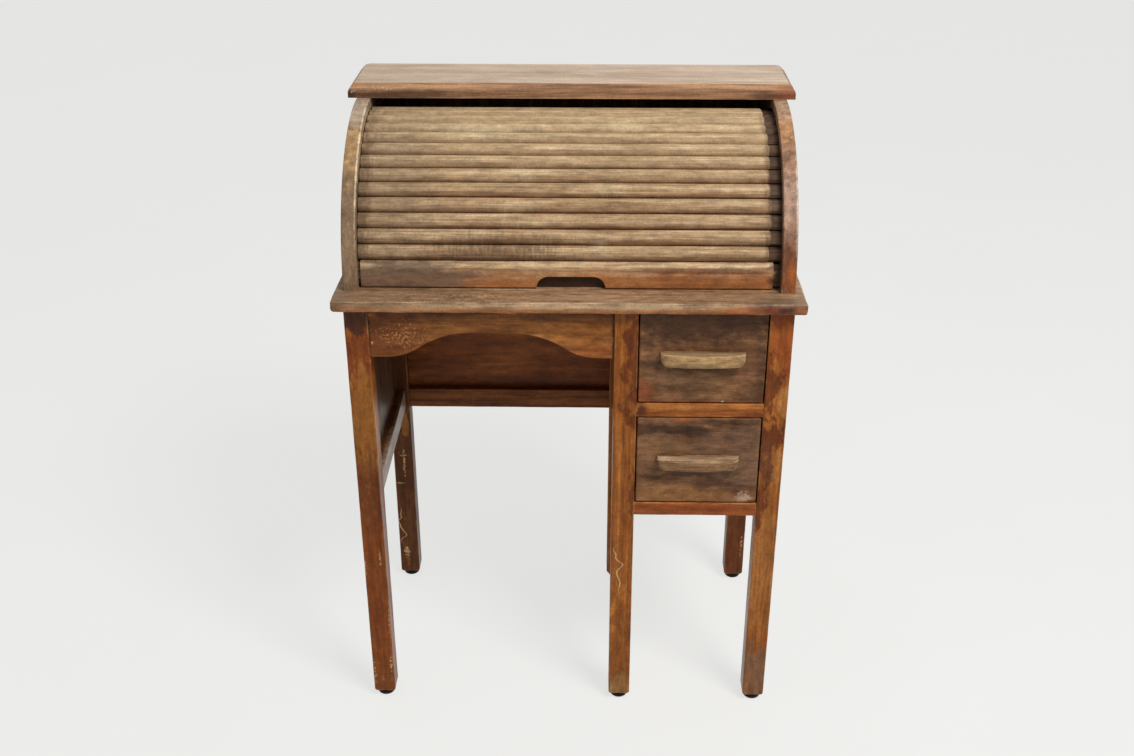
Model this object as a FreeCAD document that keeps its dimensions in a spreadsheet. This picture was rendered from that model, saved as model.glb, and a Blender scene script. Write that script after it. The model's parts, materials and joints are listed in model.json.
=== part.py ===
import FreeCAD, Part
import math
import os
import re
import Sketcher

# A child's roll-top desk in stained hardwood: a top on six square legs, an arched curtain case,
# a curtain of half-round slats on canvas, and a two-drawer pedestal right of the kneehole.
# Millimetres, +Z up, X across the front, Y from front to back.
# The origin is on the floor under the middle of the desk top.

doc = FreeCAD.newDocument("roll_top_desk")
sheet = doc.addObject("Spreadsheet::Sheet", "Sizes")

SIZES = (
    # Desk top and how far it stands out over the frame
    ("desk_width", 610),
    ("desk_depth", 360),
    ("surface_height", 656),
    ("desk_top_thickness", 16),
    ("desk_edge_radius", 4.5),
    ("side_overhang", 13.5),
    ("front_overhang", 16),
    ("back_overhang", 3),
    # Legs and the domed glides under them
    ("leg_section", 31),
    ("leg_edge_radius", 2),
    ("leg_foot_radius", 5),
    ("pedestal_clear_width", 169.5),
    ("glide_diameter", 26),
    ("glide_height", 8),
    ("glide_edge_radius", 4.5),
    # Rails low between the legs, and the panels that stand on them
    ("pedestal_height", 312.5),
    ("rail_height", 32),
    ("rail_thickness", 19),
    ("panel_thickness", 6),
    # Apron over the kneehole
    ("front_setback", 1.5),
    ("apron_thickness", 16),
    ("apron_end_height", 70),
    ("apron_middle_height", 35),
    ("apron_end_flat", 22),
    ("apron_lobe_length", 42),
    ("apron_middle_flat", 54),
    # Front rails of the pedestal
    ("front_rail_height", 20.5),
    ("front_rail_thickness", 19),
    ("lower_opening_height", 135),
    # Drawers on side runners
    ("drawer_front_gap", 1.5),
    ("drawer_front_thickness", 16),
    ("drawer_front_edge_radius", 2.5),
    ("drawer_back_room", 18.5),
    ("drawer_side_gap", 2),
    ("drawer_side_thickness", 9),
    ("drawer_top_room", 23),
    ("drawer_bottom_thickness", 5),
    ("drawer_bottom_lift", 6),
    ("runner_height", 15),
    ("runner_reach", 13),
    ("seat_clearance", 0.3),
    # Wooden bow pulls and the two screws that hold each of them
    ("pull_length", 111),
    ("pull_height", 18),
    ("pull_projection", 17),
    ("pull_bow", 6),
    ("pull_corner_radius", 10),
    ("pull_edge_radius", 1.8),
    ("screw_spacing", 64),
    ("screw_diameter", 4),
    ("screw_head_diameter", 8),
    ("screw_head_height", 2.5),
    ("screw_grip", 8),
    ("screw_clearance", 0.1),
    # Arched sides of the curtain case
    ("arch_radius", 201),
    ("arch_setback", 34),
    ("arch_thickness", 19),
    ("arch_outset", 1),
    ("arch_edge_radius", 1.5),
    ("back_panel_thickness", 5),
    # Top board over the arched sides
    ("top_board_side_overhang", 11.5),
    ("top_board_depth", 126),
    ("top_board_thickness", 19),
    ("top_board_back_overhang", 1),
    ("top_board_chamfer", 8.5),
    ("top_board_edge_radius", 10),
    ("top_board_corner_radius", 16),
    # Pigeonholes at the back of the writing surface
    ("pigeonhole_height", 113),
    ("pigeonhole_depth", 104),
    ("pigeonhole_board", 8),
    ("pigeonhole_back_thickness", 6),
    ("pigeonhole_back_room", 39),
    # Curtain: slats, lead rail, tongues and canvas
    ("slat_recess", 11),
    ("slat_thickness", 8.5),
    ("slat_crown", 6.5),
    ("slat_pitch", 20.3),
    ("slat_gap", 0.7),
    ("lead_rail_height", 35),
    ("lead_rail_thickness", 10),
    ("lead_rail_top_radius", 8.5),
    ("lead_rail_edge_radius", 2.5),
    ("lead_rail_shift", 2.5),
    ("notch_width", 90),
    ("notch_height", 16),
    ("notch_depth", 7),
    ("notch_offset", 6),
    ("tongue_length", 14.5),
    ("tongue_thickness", 5),
    ("tongue_lift", 0.5),
    ("tongue_width", 15),
    ("shoulder_gap", 0.6),
    ("curtain_slack", 11.5),
    ("canvas_thickness", 0.8),
    ("canvas_margin", 24),
    # Groove that the tongues run in: the arch, then a tighter bend down behind the pigeonholes
    ("bend_turn", 76),
    ("curtain_travel", 190),
    ("groove_depth", 15),
    ("groove_inner_room", 2.6),
    ("groove_outer_room", 8.6),
    ("groove_end_room", 6),
    ("groove_back_wall", 3.3),
    ("cut_overrun", 5),
)
SLAT_COUNT = 14
DIVIDER_COUNT = 3

for row, (alias, value) in enumerate(SIZES, start=1):
    sheet.set(f"A{row}", alias)
    sheet.set(f"B{row}", str(value))
    sheet.setAlias(f"B{row}", alias)
doc.recompute()

ALIASES = {alias for alias, value in SIZES}
WORD = re.compile(r"[a-z][a-z_]*")
probe = doc.addObject("App::FeaturePython", "Probe")
probe.addProperty("App::PropertyFloat", "Number")


def linked(text):
    """Expression text with each size name pointing at its cell."""
    return WORD.sub(lambda word: f"Sizes.{word[0]}" if word[0] in ALIASES else word[0], text)


def number(text):
    """The present value of an expression, for a sketch's first lines and arcs."""
    probe.setExpression("Number", linked(text))
    probe.recompute()
    return probe.Number


def bind(item, **sizes):
    for name, text in sizes.items():
        item.setExpression(name, linked(text))


def place(item, x, y, z):
    for axis, text in zip("xyz", (x, y, z)):
        item.setExpression(f"Placement.Base.{axis}", linked(text))


def turn_about_x(item, degrees):
    """Turn about X; the axis is set first, so that the bound angle has one."""
    item.Placement = FreeCAD.Placement(FreeCAD.Vector(), FreeCAD.Rotation(FreeCAD.Vector(1, 0, 0), 1))
    item.setExpression("Placement.Rotation.Angle", linked(degrees))


def new_body(label):
    body = doc.addObject("PartDesign::Body", label)
    body.Label = label
    return body


# A box's edges by where they lie
BOX_EDGES = {
    "left_front": 1, "left_top": 2, "left_back": 3, "left_bottom": 4,
    "right_front": 5, "right_top": 6, "right_back": 7, "right_bottom": 8,
    "front_bottom": 9, "front_top": 10, "back_bottom": 11, "back_top": 12,
}
UPRIGHT_EDGES = ("left_front", "left_back", "right_front", "right_back")
FRONT_EDGES = ("left_front", "right_front", "front_bottom", "front_top")


def board(label, corner, size, radius=None, edges=()):
    """A rectangular piece from its left front bottom corner, with some edges rounded."""
    body = new_body(label)
    blank = body.newObject("PartDesign::AdditiveBox", f"{label}_blank")
    bind(blank, Length=size[0], Width=size[1], Height=size[2])
    place(body, *corner)
    if edges:
        doc.recompute()
        rounded = body.newObject("PartDesign::Fillet", f"{label}_rounded")
        rounded.Base = (blank, [f"Edge{BOX_EDGES[edge]}" for edge in edges])
        bind(rounded, Radius=radius)
    return body


def box(label, corner, size):
    """A plain box that is one of the solids of a group."""
    item = doc.addObject("Part::Box", label)
    bind(item, Length=size[0], Width=size[1], Height=size[2])
    place(item, *corner)
    return item


def group(label, items):
    """Like pieces that share one node as separate solids."""
    compound = doc.addObject("Part::Compound", label)
    compound.Label = label
    compound.Links = items
    return compound


def arc_through(start, end, radius, side):
    """The shorter arc between two points, bulging to the left (1) or right (-1) of the way."""
    chord = end - start
    half = chord.Length / 2
    normal = FreeCAD.Vector(-chord.y, chord.x, 0).normalize()
    rise = radius - math.sqrt(max(radius * radius - half * half, 0))
    crest = (start + end) / 2 + normal * (side * rise)
    return Part.Arc(end, crest, start) if side > 0 else Part.Arc(start, crest, end)


def outline(body, name, plane, points):
    """A closed sketch. Each point is (x, y), or (x, y, radius, side) where an arc leaves it."""
    sketch = body.newObject("Sketcher::SketchObject", name)
    support = next(item for item in body.Origin.OriginFeatures if item.Role == plane)
    sketch.AttachmentSupport = [(support, "")]
    sketch.MapMode = "FlatFace"
    places = [FreeCAD.Vector(number(point[0]), number(point[1]), 0) for point in points]
    for index, point in enumerate(points):
        start = places[index]
        end = places[(index + 1) % len(points)]
        if len(point) == 2:
            sketch.addGeometry(Part.LineSegment(start, end), False)
            continue
        sketch.addGeometry(arc_through(start, end, number(point[2]), point[3]), False)
    origin, first, last = (-1, 1), 1, 2
    ends = []
    for geometry, start in zip(sketch.Geometry, places):
        forward = (geometry.StartPoint - start).Length <= (geometry.EndPoint - start).Length
        ends.append((first, last) if forward else (last, first))
    for index, point in enumerate(points):
        before = (index - 1) % len(points)
        sketch.addConstraint(
            Sketcher.Constraint("Coincident", before, ends[before][1], index, ends[index][0])
        )
        for kind, axis in (("DistanceX", 0), ("DistanceY", 1)):
            constraint = sketch.addConstraint(
                Sketcher.Constraint(kind, *origin, index, ends[index][0], places[index][axis])
            )
            sketch.setExpression(f"Constraints[{constraint}]", linked(point[axis]))
        if len(point) > 2:
            constraint = sketch.addConstraint(Sketcher.Constraint("Radius", index, number(point[2])))
            sketch.setExpression(f"Constraints[{constraint}]", linked(point[2]))
    return sketch


def pad(body, name, sketch, length, both_ways=False, reverse=False):
    item = body.newObject("PartDesign::Pad", name)
    item.Profile = sketch
    item.SideType = "Symmetric" if both_ways else "One side"
    item.Reversed = reverse
    bind(item, Length=length)
    return item


def pocket(body, name, sketch, length, both_ways=False, reverse=False):
    """Cut a sketch into a body, and stop if it points away from the solid and cuts nothing."""
    doc.recompute()
    whole = body.Shape.Volume
    item = body.newObject("PartDesign::Pocket", name)
    item.Profile = sketch
    item.SideType = "Symmetric" if both_ways else "One side"
    item.Reversed = reverse
    bind(item, Length=length)
    doc.recompute()
    if not body.Shape.Volume < whole:
        raise RuntimeError(f"{name} cuts nothing")
    return item


def round_edges(body, name, radius, wanted):
    """Round the edges of the body's last feature that wanted(edge) picks."""
    doc.recompute()
    last = body.Tip
    names = [f"Edge{i}" for i, edge in enumerate(last.Shape.Edges, start=1) if wanted(edge)]
    item = body.newObject("PartDesign::Fillet", name)
    item.Base = (last, names)
    bind(item, Radius=radius)
    return item


TINY = Part.Precision.confusion()


def is_level(edge):
    return edge.BoundBox.ZLength < TINY


nodes = []

# Places that several pieces share
FRAME_HALF = "(desk_width / 2 - side_overhang)"
UNDERSIDE = "(surface_height - desk_top_thickness)"
LEG_FRONT = "(front_overhang - desk_depth / 2)"
LEG_BACK = "(desk_depth / 2 - back_overhang)"
FRONT_LEG_BACK = f"({LEG_FRONT} + leg_section)"
REAR_LEG_FRONT = f"({LEG_BACK} - leg_section)"
LEG_GAP_DEPTH = f"({REAR_LEG_FRONT} - {FRONT_LEG_BACK})"
KNEE_LEFT = f"(leg_section - {FRAME_HALF})"
BAY_RIGHT = f"({FRAME_HALF} - leg_section)"
BAY_LEFT = f"({BAY_RIGHT} - pedestal_clear_width)"
KNEE_RIGHT = f"({BAY_LEFT} - leg_section)"
KNEE_WIDTH = f"({KNEE_RIGHT} - {KNEE_LEFT})"
RAIL_BOTTOM = f"({UNDERSIDE} - pedestal_height)"
RAIL_TOP = f"({RAIL_BOTTOM} + rail_height)"
RAIL_INSET = "((leg_section - rail_thickness) / 2)"

# Six square legs, softened along their edges, each on a domed glide
LEG_ROWS = (("front", LEG_FRONT), ("rear", REAR_LEG_FRONT))
LEG_COLUMNS = (("left", f"-{FRAME_HALF}"), ("middle", KNEE_RIGHT), ("right", BAY_RIGHT))
glides = []
for row_name, leg_y in LEG_ROWS:
    for column_name, leg_x in LEG_COLUMNS:
        leg = board(
            f"{row_name}_{column_name}_leg",
            (leg_x, leg_y, "glide_height"),
            ("leg_section", "leg_section", f"{UNDERSIDE} - glide_height"),
            "leg_edge_radius",
            UPRIGHT_EDGES,
        )
        round_edges(
            leg, f"{leg.Label}_foot", "leg_foot_radius",
            lambda edge: is_level(edge) and edge.BoundBox.ZMax < TINY,
        )
        nodes.append(leg)
        glide = new_body(f"{row_name}_{column_name}_glide")
        dome = glide.newObject("PartDesign::AdditiveCylinder", f"{glide.Label}_blank")
        bind(dome, Radius="glide_diameter / 2", Height="glide_height")
        place(glide, f"{leg_x} + leg_section / 2", f"{leg_y} + leg_section / 2", "0")
        round_edges(
            glide, f"{glide.Label}_rounded", "glide_edge_radius",
            lambda edge: is_level(edge) and edge.BoundBox.ZMax < TINY,
        )
        glides.append(glide)
nodes.append(group("leg_glides", glides))

# Side frames: a rail centred on the legs, and a thin panel standing on its outer edge
SIDE_FRAMES = (
    ("left_side", f"-{FRAME_HALF}", "0"),
    ("pedestal_inner", KNEE_RIGHT, "0"),
    ("right_side", BAY_RIGHT, "rail_thickness - panel_thickness"),
)
for frame_name, leg_x, panel_inset in SIDE_FRAMES:
    nodes.append(board(
        f"{frame_name}_rail",
        (f"{leg_x} + {RAIL_INSET}", FRONT_LEG_BACK, RAIL_BOTTOM),
        ("rail_thickness", LEG_GAP_DEPTH, "rail_height"),
    ))
    nodes.append(board(
        f"{frame_name}_panel",
        (f"{leg_x} + {RAIL_INSET} + {panel_inset}", FRONT_LEG_BACK, RAIL_TOP),
        ("panel_thickness", LEG_GAP_DEPTH, f"{UNDERSIDE} - {RAIL_TOP}"),
    ))

# Back frames behind the kneehole and the pedestal, made the same way
BACK_FRAMES = (
    ("kneehole_back", KNEE_LEFT, KNEE_WIDTH),
    ("pedestal_back", BAY_LEFT, "pedestal_clear_width"),
)
for frame_name, left, width in BACK_FRAMES:
    nodes.append(board(
        f"{frame_name}_rail",
        (left, f"{REAR_LEG_FRONT} + {RAIL_INSET}", RAIL_BOTTOM),
        (width, "rail_thickness", "rail_height"),
    ))
    nodes.append(board(
        f"{frame_name}_panel",
        (left, f"{LEG_BACK} - {RAIL_INSET} - panel_thickness", RAIL_TOP),
        (width, "panel_thickness", f"{UNDERSIDE} - {RAIL_TOP}"),
    ))

# Apron over the kneehole: its lower edge rises in an ogee from each end to a flat middle.
# A tight lobe at each end meets a wider cove, and both turn through the same angle.
apron = new_body("apron")
OGEE_RISE = "(apron_end_height - apron_middle_height)"
OGEE_LENGTH = f"(({KNEE_WIDTH} - apron_middle_flat) / 2 - apron_end_flat)"
OGEE_RADII = f"(({OGEE_LENGTH} ^ 2 + {OGEE_RISE} ^ 2) / (2 * {OGEE_RISE}))"
LOBE_SHARE = f"(apron_lobe_length / {OGEE_LENGTH})"
LOBE_RADIUS = f"({OGEE_RADII} * {LOBE_SHARE})"
LOBE_HEIGHT = f"(apron_end_height - {OGEE_RISE} * {LOBE_SHARE})"
COVE_RADIUS = f"({OGEE_RADII} * (1 - {LOBE_SHARE}))"
COVE_END = f"(apron_end_flat + {OGEE_LENGTH})"
apron_sketch = outline(apron, "apron_outline", "XZ_Plane", [
    ("0", "0"),
    ("0", "-apron_end_height"),
    ("apron_end_flat", "-apron_end_height", LOBE_RADIUS, -1),
    ("apron_end_flat + apron_lobe_length", f"-{LOBE_HEIGHT}", COVE_RADIUS, 1),
    (COVE_END, "-apron_middle_height"),
    (f"{KNEE_WIDTH} - {COVE_END}", "-apron_middle_height", COVE_RADIUS, 1),
    (f"{KNEE_WIDTH} - apron_end_flat - apron_lobe_length", f"-{LOBE_HEIGHT}", LOBE_RADIUS, -1),
    (f"{KNEE_WIDTH} - apron_end_flat", "-apron_end_height"),
    (KNEE_WIDTH, "-apron_end_height"),
    (KNEE_WIDTH, "0"),
])
pad(apron, "apron_pad", apron_sketch, "apron_thickness", reverse=True)
place(apron, KNEE_LEFT, f"{LEG_FRONT} + front_setback", UNDERSIDE)
nodes.append(apron)

# Pedestal front: a rail under the lower drawer and a divider between the two drawers
LOWER_OPENING = f"({RAIL_BOTTOM} + front_rail_height)"
DIVIDER_BOTTOM = f"({LOWER_OPENING} + lower_opening_height)"
UPPER_OPENING = f"({DIVIDER_BOTTOM} + front_rail_height)"
FRONT_RAILS = (("pedestal_bottom_rail", RAIL_BOTTOM), ("drawer_divider_rail", DIVIDER_BOTTOM))
for rail_name, bottom in FRONT_RAILS:
    nodes.append(board(
        rail_name,
        (BAY_LEFT, f"{LEG_FRONT} + front_setback", bottom),
        ("pedestal_clear_width", "front_rail_thickness", "front_rail_height"),
    ))

# Runners from leg to leg beside each opening: the lower pair on the rails, the upper on the panels
RUNNER_PAIRS = (
    ("lower", LOWER_OPENING, "rail_thickness"),
    ("upper", UPPER_OPENING, "panel_thickness"),
)
runners = []
for name, top, carrier in RUNNER_PAIRS:
    left_face = f"({KNEE_RIGHT} + {RAIL_INSET} + {carrier})"
    right_face = f"({FRAME_HALF} - {RAIL_INSET} - {carrier})"
    sides = (
        ("left", left_face, f"{BAY_LEFT} + runner_reach - {left_face}"),
        ("right", f"{BAY_RIGHT} - runner_reach", f"{right_face} - {BAY_RIGHT} + runner_reach"),
    )
    for side, left, width in sides:
        runners.append(box(
            f"{name}_{side}_runner",
            (left, FRONT_LEG_BACK, f"{top} - runner_height"),
            (width, LEG_GAP_DEPTH, "runner_height"),
        ))
nodes.append(group("drawer_runners", runners))

# Two drawers, each a front, two sides, a back and a bottom, with a bow pull on two screws
DRAWER_FRONT_Y = f"({LEG_FRONT} + front_setback)"
DRAWER_BOX_Y = f"({DRAWER_FRONT_Y} + drawer_front_thickness)"
DRAWER_BOX_LENGTH = f"({REAR_LEG_FRONT} + {RAIL_INSET} - drawer_back_room - {DRAWER_BOX_Y})"
DRAWER_LEFT = f"({BAY_LEFT} + drawer_side_gap)"
DRAWER_RIGHT = f"({BAY_RIGHT} - drawer_side_gap)"
DRAWER_INNER_WIDTH = f"({DRAWER_RIGHT} - {DRAWER_LEFT} - 2 * drawer_side_thickness)"
BAY_MIDDLE = f"({BAY_LEFT} + pedestal_clear_width / 2)"
PULL_FRONT = "(pull_bow - pull_projection)"
PULL_BOW_RADIUS = "((pull_length ^ 2 / 4 + pull_bow ^ 2) / (2 * pull_bow))"
SCREW_HOLE = "(screw_diameter / 2 + screw_clearance)"


def screw_bore(body, name, x, y, z, depth):
    """A round hole from y towards the front."""
    hole = body.newObject("PartDesign::SubtractiveCylinder", name)
    bind(hole, Radius=SCREW_HOLE, Height=depth)
    turn_about_x(hole, "90")
    place(hole, x, y, z)


def screw(name, x, y, z):
    """A round-headed screw whose head bears on the inside of the drawer front."""
    shank = doc.addObject("Part::Cylinder", f"{name}_shank")
    bind(shank, Radius="screw_diameter / 2", Height="drawer_front_thickness + screw_grip")
    turn_about_x(shank, "90")
    place(shank, x, y, z)
    head = doc.addObject("Part::Cylinder", f"{name}_head")
    bind(head, Radius="screw_head_diameter / 2", Height="screw_head_height")
    turn_about_x(head, "90")
    place(head, x, f"{y} + screw_head_height", z)
    whole = doc.addObject("Part::Fuse", name)
    whole.Base = head
    whole.Tool = shank
    return whole


def drawer(name, opening_bottom, opening_height):
    front_z = f"({opening_bottom} + drawer_front_gap)"
    front_height = f"({opening_height} - 2 * drawer_front_gap)"
    front_width = "(pedestal_clear_width - 2 * drawer_front_gap)"
    side_z = f"({opening_bottom} + seat_clearance)"
    side_height = f"({opening_height} - seat_clearance - drawer_top_room)"
    bottom_z = f"({side_z} + drawer_bottom_lift)"
    back_z = f"({bottom_z} + drawer_bottom_thickness)"
    middle_z = f"({opening_bottom} + {opening_height} / 2)"
    screw_places = (("left", "-screw_spacing / 2"), ("right", "screw_spacing / 2"))

    front = board(
        f"{name}_drawer_front",
        (f"{BAY_LEFT} + drawer_front_gap", DRAWER_FRONT_Y, front_z),
        (front_width, "drawer_front_thickness", front_height),
        "drawer_front_edge_radius",
        FRONT_EDGES,
    )
    for side, offset in screw_places:
        screw_bore(
            front, f"{name}_front_{side}_hole",
            f"{front_width} / 2 + {offset}",
            "drawer_front_thickness + cut_overrun",
            f"{front_height} / 2",
            "drawer_front_thickness + 2 * cut_overrun",
        )
    nodes.append(front)

    for side, left in (("left", DRAWER_LEFT), ("right", f"{DRAWER_RIGHT} - drawer_side_thickness")):
        nodes.append(board(
            f"{name}_drawer_{side}_side",
            (left, DRAWER_BOX_Y, side_z),
            ("drawer_side_thickness", DRAWER_BOX_LENGTH, side_height),
        ))
    inner_left = f"{DRAWER_LEFT} + drawer_side_thickness"
    nodes.append(board(
        f"{name}_drawer_bottom",
        (inner_left, DRAWER_BOX_Y, bottom_z),
        (DRAWER_INNER_WIDTH, DRAWER_BOX_LENGTH, "drawer_bottom_thickness"),
    ))
    nodes.append(board(
        f"{name}_drawer_back",
        (inner_left, f"{DRAWER_BOX_Y} + {DRAWER_BOX_LENGTH} - drawer_side_thickness", back_z),
        (DRAWER_INNER_WIDTH, "drawer_side_thickness", f"{side_z} + {side_height} - {back_z}"),
    ))

    pull = new_body(f"{name}_drawer_pull")
    plan = outline(pull, f"{name}_pull_plan", "XY_Plane", [
        ("-pull_length / 2", "0"),
        ("-pull_length / 2", PULL_FRONT, PULL_BOW_RADIUS, -1),
        ("pull_length / 2", PULL_FRONT),
        ("pull_length / 2", "0"),
    ])
    pad(pull, f"{name}_pull_pad", plan, "pull_height", both_ways=True)
    round_edges(
        pull, f"{name}_pull_corners", "pull_corner_radius",
        lambda edge: not is_level(edge) and edge.BoundBox.YMax < -TINY,
    )
    round_edges(
        pull, f"{name}_pull_rounded", "pull_edge_radius",
        lambda edge: is_level(edge) and edge.BoundBox.YMin < -TINY,
    )
    for side, offset in screw_places:
        screw_bore(pull, f"{name}_pull_{side}_hole", offset, "0", "0", "screw_grip + screw_clearance")
    place(pull, BAY_MIDDLE, DRAWER_FRONT_Y, middle_z)
    nodes.append(pull)

    screws = [
        screw(f"{name}_{side}_screw", f"{BAY_MIDDLE} + {offset}", DRAWER_BOX_Y, middle_z)
        for side, offset in screw_places
    ]
    nodes.append(group(f"{name}_pull_screws", screws))


drawer("upper", UPPER_OPENING, f"({UNDERSIDE} - {UPPER_OPENING})")
drawer("lower", LOWER_OPENING, "lower_opening_height")

# Desk top, with its front and side edges rounded over
nodes.append(board(
    "desk_top",
    ("-desk_width / 2", "-desk_depth / 2", UNDERSIDE),
    ("desk_width", "desk_depth", "desk_top_thickness"),
    "desk_edge_radius",
    ("left_front", "right_front", "front_top", "left_top", "right_top", "front_bottom"),
))

# Path of the curtain's canvas: an arch about the middle of the case, then a tighter bend.
# An angle counts from the foot of the arch, over the top and down behind.
ARC_Y = "(arch_setback + arch_radius - desk_depth / 2)"
PATH_RADIUS = "(arch_radius - slat_recess - slat_thickness)"
ARCH_BACK = f"({LEG_BACK} - back_panel_thickness - {ARC_Y})"
BEND_ROOM = f"({ARCH_BACK} - groove_back_wall - groove_outer_room)"
BEND_RADIUS = f"(({BEND_ROOM} + {PATH_RADIUS} * cos(bend_turn)) / (1 + cos(bend_turn)))"
BEND_START = f"({PATH_RADIUS} * bend_turn * pi / 180)"
BEND_Y = f"(({BEND_RADIUS} - {PATH_RADIUS}) * cos(bend_turn))"
BEND_Z = f"(({PATH_RADIUS} - {BEND_RADIUS}) * sin(bend_turn))"


def path_turn(distance):
    """Degrees turned after a distance along the path."""
    on_arch = f"min({distance} / {PATH_RADIUS} * 180 / pi; bend_turn)"
    on_bend = f"max({distance} - {BEND_START}; 0) / {BEND_RADIUS} * 180 / pi"
    return f"({on_arch} + {on_bend})"


def path_place(turn):
    """Y and Z from the middle of the arch, where the path has turned by an angle."""
    arch_turn = f"min({turn}; bend_turn)"
    y = f"({BEND_RADIUS} - {PATH_RADIUS}) * cos({arch_turn}) - {BEND_RADIUS} * cos({turn})"
    z = f"({PATH_RADIUS} - {BEND_RADIUS}) * sin({arch_turn}) + {BEND_RADIUS} * sin({turn})"
    return y, z


def slat_distance(index):
    """Distance along the path of a slat's middle, counting slats from the lead rail."""
    return f"(seat_clearance + lead_rail_height + slat_pitch * ({index} - 0.5))"


# Arched sides, each with a groove in its inner face that opens at the desk top
CASE_HALF = f"({FRAME_HALF} + arch_outset - arch_thickness)"
GROOVE_LENGTH = f"({slat_distance(SLAT_COUNT)} + curtain_travel + tongue_width / 2 + groove_end_room)"
TAIL_TURN = path_turn(GROOVE_LENGTH)
OUTER_ARCH = f"({PATH_RADIUS} + groove_outer_room)"
INNER_ARCH = f"({PATH_RADIUS} - groove_inner_room)"
OUTER_BEND = f"({BEND_RADIUS} + groove_outer_room)"
INNER_BEND = f"({BEND_RADIUS} - groove_inner_room)"


def bend_point(radius, turn):
    """Y and Z of a point on the bend, at a distance from the bend's own middle."""
    return f"{BEND_Y} - {radius} * cos({turn})", f"{BEND_Z} + {radius} * sin({turn})"


for side, inner_x, leftward in (("left", f"-{CASE_HALF}", True), ("right", CASE_HALF, False)):
    arch = new_body(f"{side}_arch_side")
    arch_sketch = outline(arch, f"{side}_arch_outline", "YZ_Plane", [
        ("-arch_radius", "0", "arch_radius", 1),
        ("0", "arch_radius"),
        (ARCH_BACK, "arch_radius"),
        (ARCH_BACK, "0"),
    ])
    pad(arch, f"{side}_arch_pad", arch_sketch, "arch_thickness", reverse=leftward)
    round_edges(
        arch, f"{side}_arch_softened", "arch_edge_radius",
        lambda edge: isinstance(edge.Curve, Part.Circle),
    )
    groove_sketch = outline(arch, f"{side}_groove_outline", "YZ_Plane", [
        (f"-{OUTER_ARCH}", "-cut_overrun"),
        (f"-{OUTER_ARCH}", "0", OUTER_ARCH, 1),
        (*bend_point(OUTER_BEND, "bend_turn"), OUTER_BEND, 1),
        bend_point(OUTER_BEND, TAIL_TURN),
        (*bend_point(INNER_BEND, TAIL_TURN), INNER_BEND, -1),
        (*bend_point(INNER_BEND, "bend_turn"), INNER_ARCH, -1),
        (f"-{INNER_ARCH}", "0"),
        (f"-{INNER_ARCH}", "-cut_overrun"),
    ])
    pocket(arch, f"{side}_groove", groove_sketch, "groove_depth", reverse=not leftward)
    place(arch, inner_x, ARC_Y, "surface_height")
    nodes.append(arch)

# Top board across the two sides: a bevel along its upper edges, eased into the sides below it,
# and rounded back corners
ARCH_TOP = "(surface_height + arch_radius)"
TOP_HALF = f"({FRAME_HALF} + arch_outset + top_board_side_overhang)"
CORNER_X = f"({TOP_HALF} - top_board_corner_radius)"
CORNER_Y = "(top_board_depth - top_board_corner_radius)"
top_board = new_body("top_board")
top_sketch = outline(top_board, "top_board_plan", "XY_Plane", [
    (f"-{TOP_HALF}", "0"),
    (TOP_HALF, "0"),
    (TOP_HALF, CORNER_Y, "top_board_corner_radius", -1),
    (CORNER_X, "top_board_depth"),
    (f"-{CORNER_X}", "top_board_depth", "top_board_corner_radius", -1),
    (f"-{TOP_HALF}", CORNER_Y),
])
pad(top_board, "top_board_pad", top_sketch, "top_board_thickness")
doc.recompute()
top_pad = top_board.Tip
upper_face = number("top_board_thickness")
upper_edges = [
    f"Edge{i}" for i, edge in enumerate(top_pad.Shape.Edges, start=1)
    if edge.BoundBox.ZMin > upper_face - TINY
]
bevel = top_board.newObject("PartDesign::Chamfer", "top_board_bevel")
bevel.Base = (top_pad, upper_edges)
bind(bevel, Size="top_board_chamfer")
bevel_foot = number("top_board_thickness - top_board_chamfer")
round_edges(
    top_board, "top_board_eased", "top_board_edge_radius",
    lambda edge: is_level(edge) and abs(edge.BoundBox.ZMin - bevel_foot) < TINY,
)
place(top_board, "0", f"{LEG_BACK} + top_board_back_overhang - top_board_depth", ARCH_TOP)
nodes.append(top_board)

# Thin back nailed on behind the curtain
nodes.append(board(
    "upper_back_panel",
    (f"-{FRAME_HALF} - arch_outset", f"{LEG_BACK} - back_panel_thickness", "surface_height"),
    (f"2 * ({FRAME_HALF} + arch_outset)", "back_panel_thickness", "arch_radius"),
))

# Pigeonholes: a shelf on three dividers, and a back that keeps papers out of the rolled curtain
HOLE_BACK_Y = f"({ARC_Y} + {ARCH_BACK} - pigeonhole_back_room - pigeonhole_back_thickness)"
HOLE_FRONT_Y = f"({HOLE_BACK_Y} - pigeonhole_depth)"
DIVIDER_HEIGHT = "(pigeonhole_height - pigeonhole_board)"
nodes.append(board(
    "pigeonhole_back",
    (f"-{CASE_HALF}", HOLE_BACK_Y, "surface_height"),
    (f"2 * {CASE_HALF}", "pigeonhole_back_thickness", "pigeonhole_height"),
))
nodes.append(board(
    "pigeonhole_shelf",
    (f"-{CASE_HALF}", HOLE_FRONT_Y, f"surface_height + {DIVIDER_HEIGHT}"),
    (f"2 * {CASE_HALF}", "pigeonhole_depth", "pigeonhole_board"),
))
dividers = []
for index in range(1, DIVIDER_COUNT + 1):
    width_share = index / (DIVIDER_COUNT + 1)
    divider_x = f"2 * {CASE_HALF} * {width_share} - {CASE_HALF} - pigeonhole_board / 2"
    dividers.append(box(
        f"divider_{index}",
        (divider_x, HOLE_FRONT_Y, "surface_height"),
        ("pigeonhole_board", "pigeonhole_depth", DIVIDER_HEIGHT),
    ))
nodes.append(group("pigeonhole_dividers", dividers))

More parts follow.
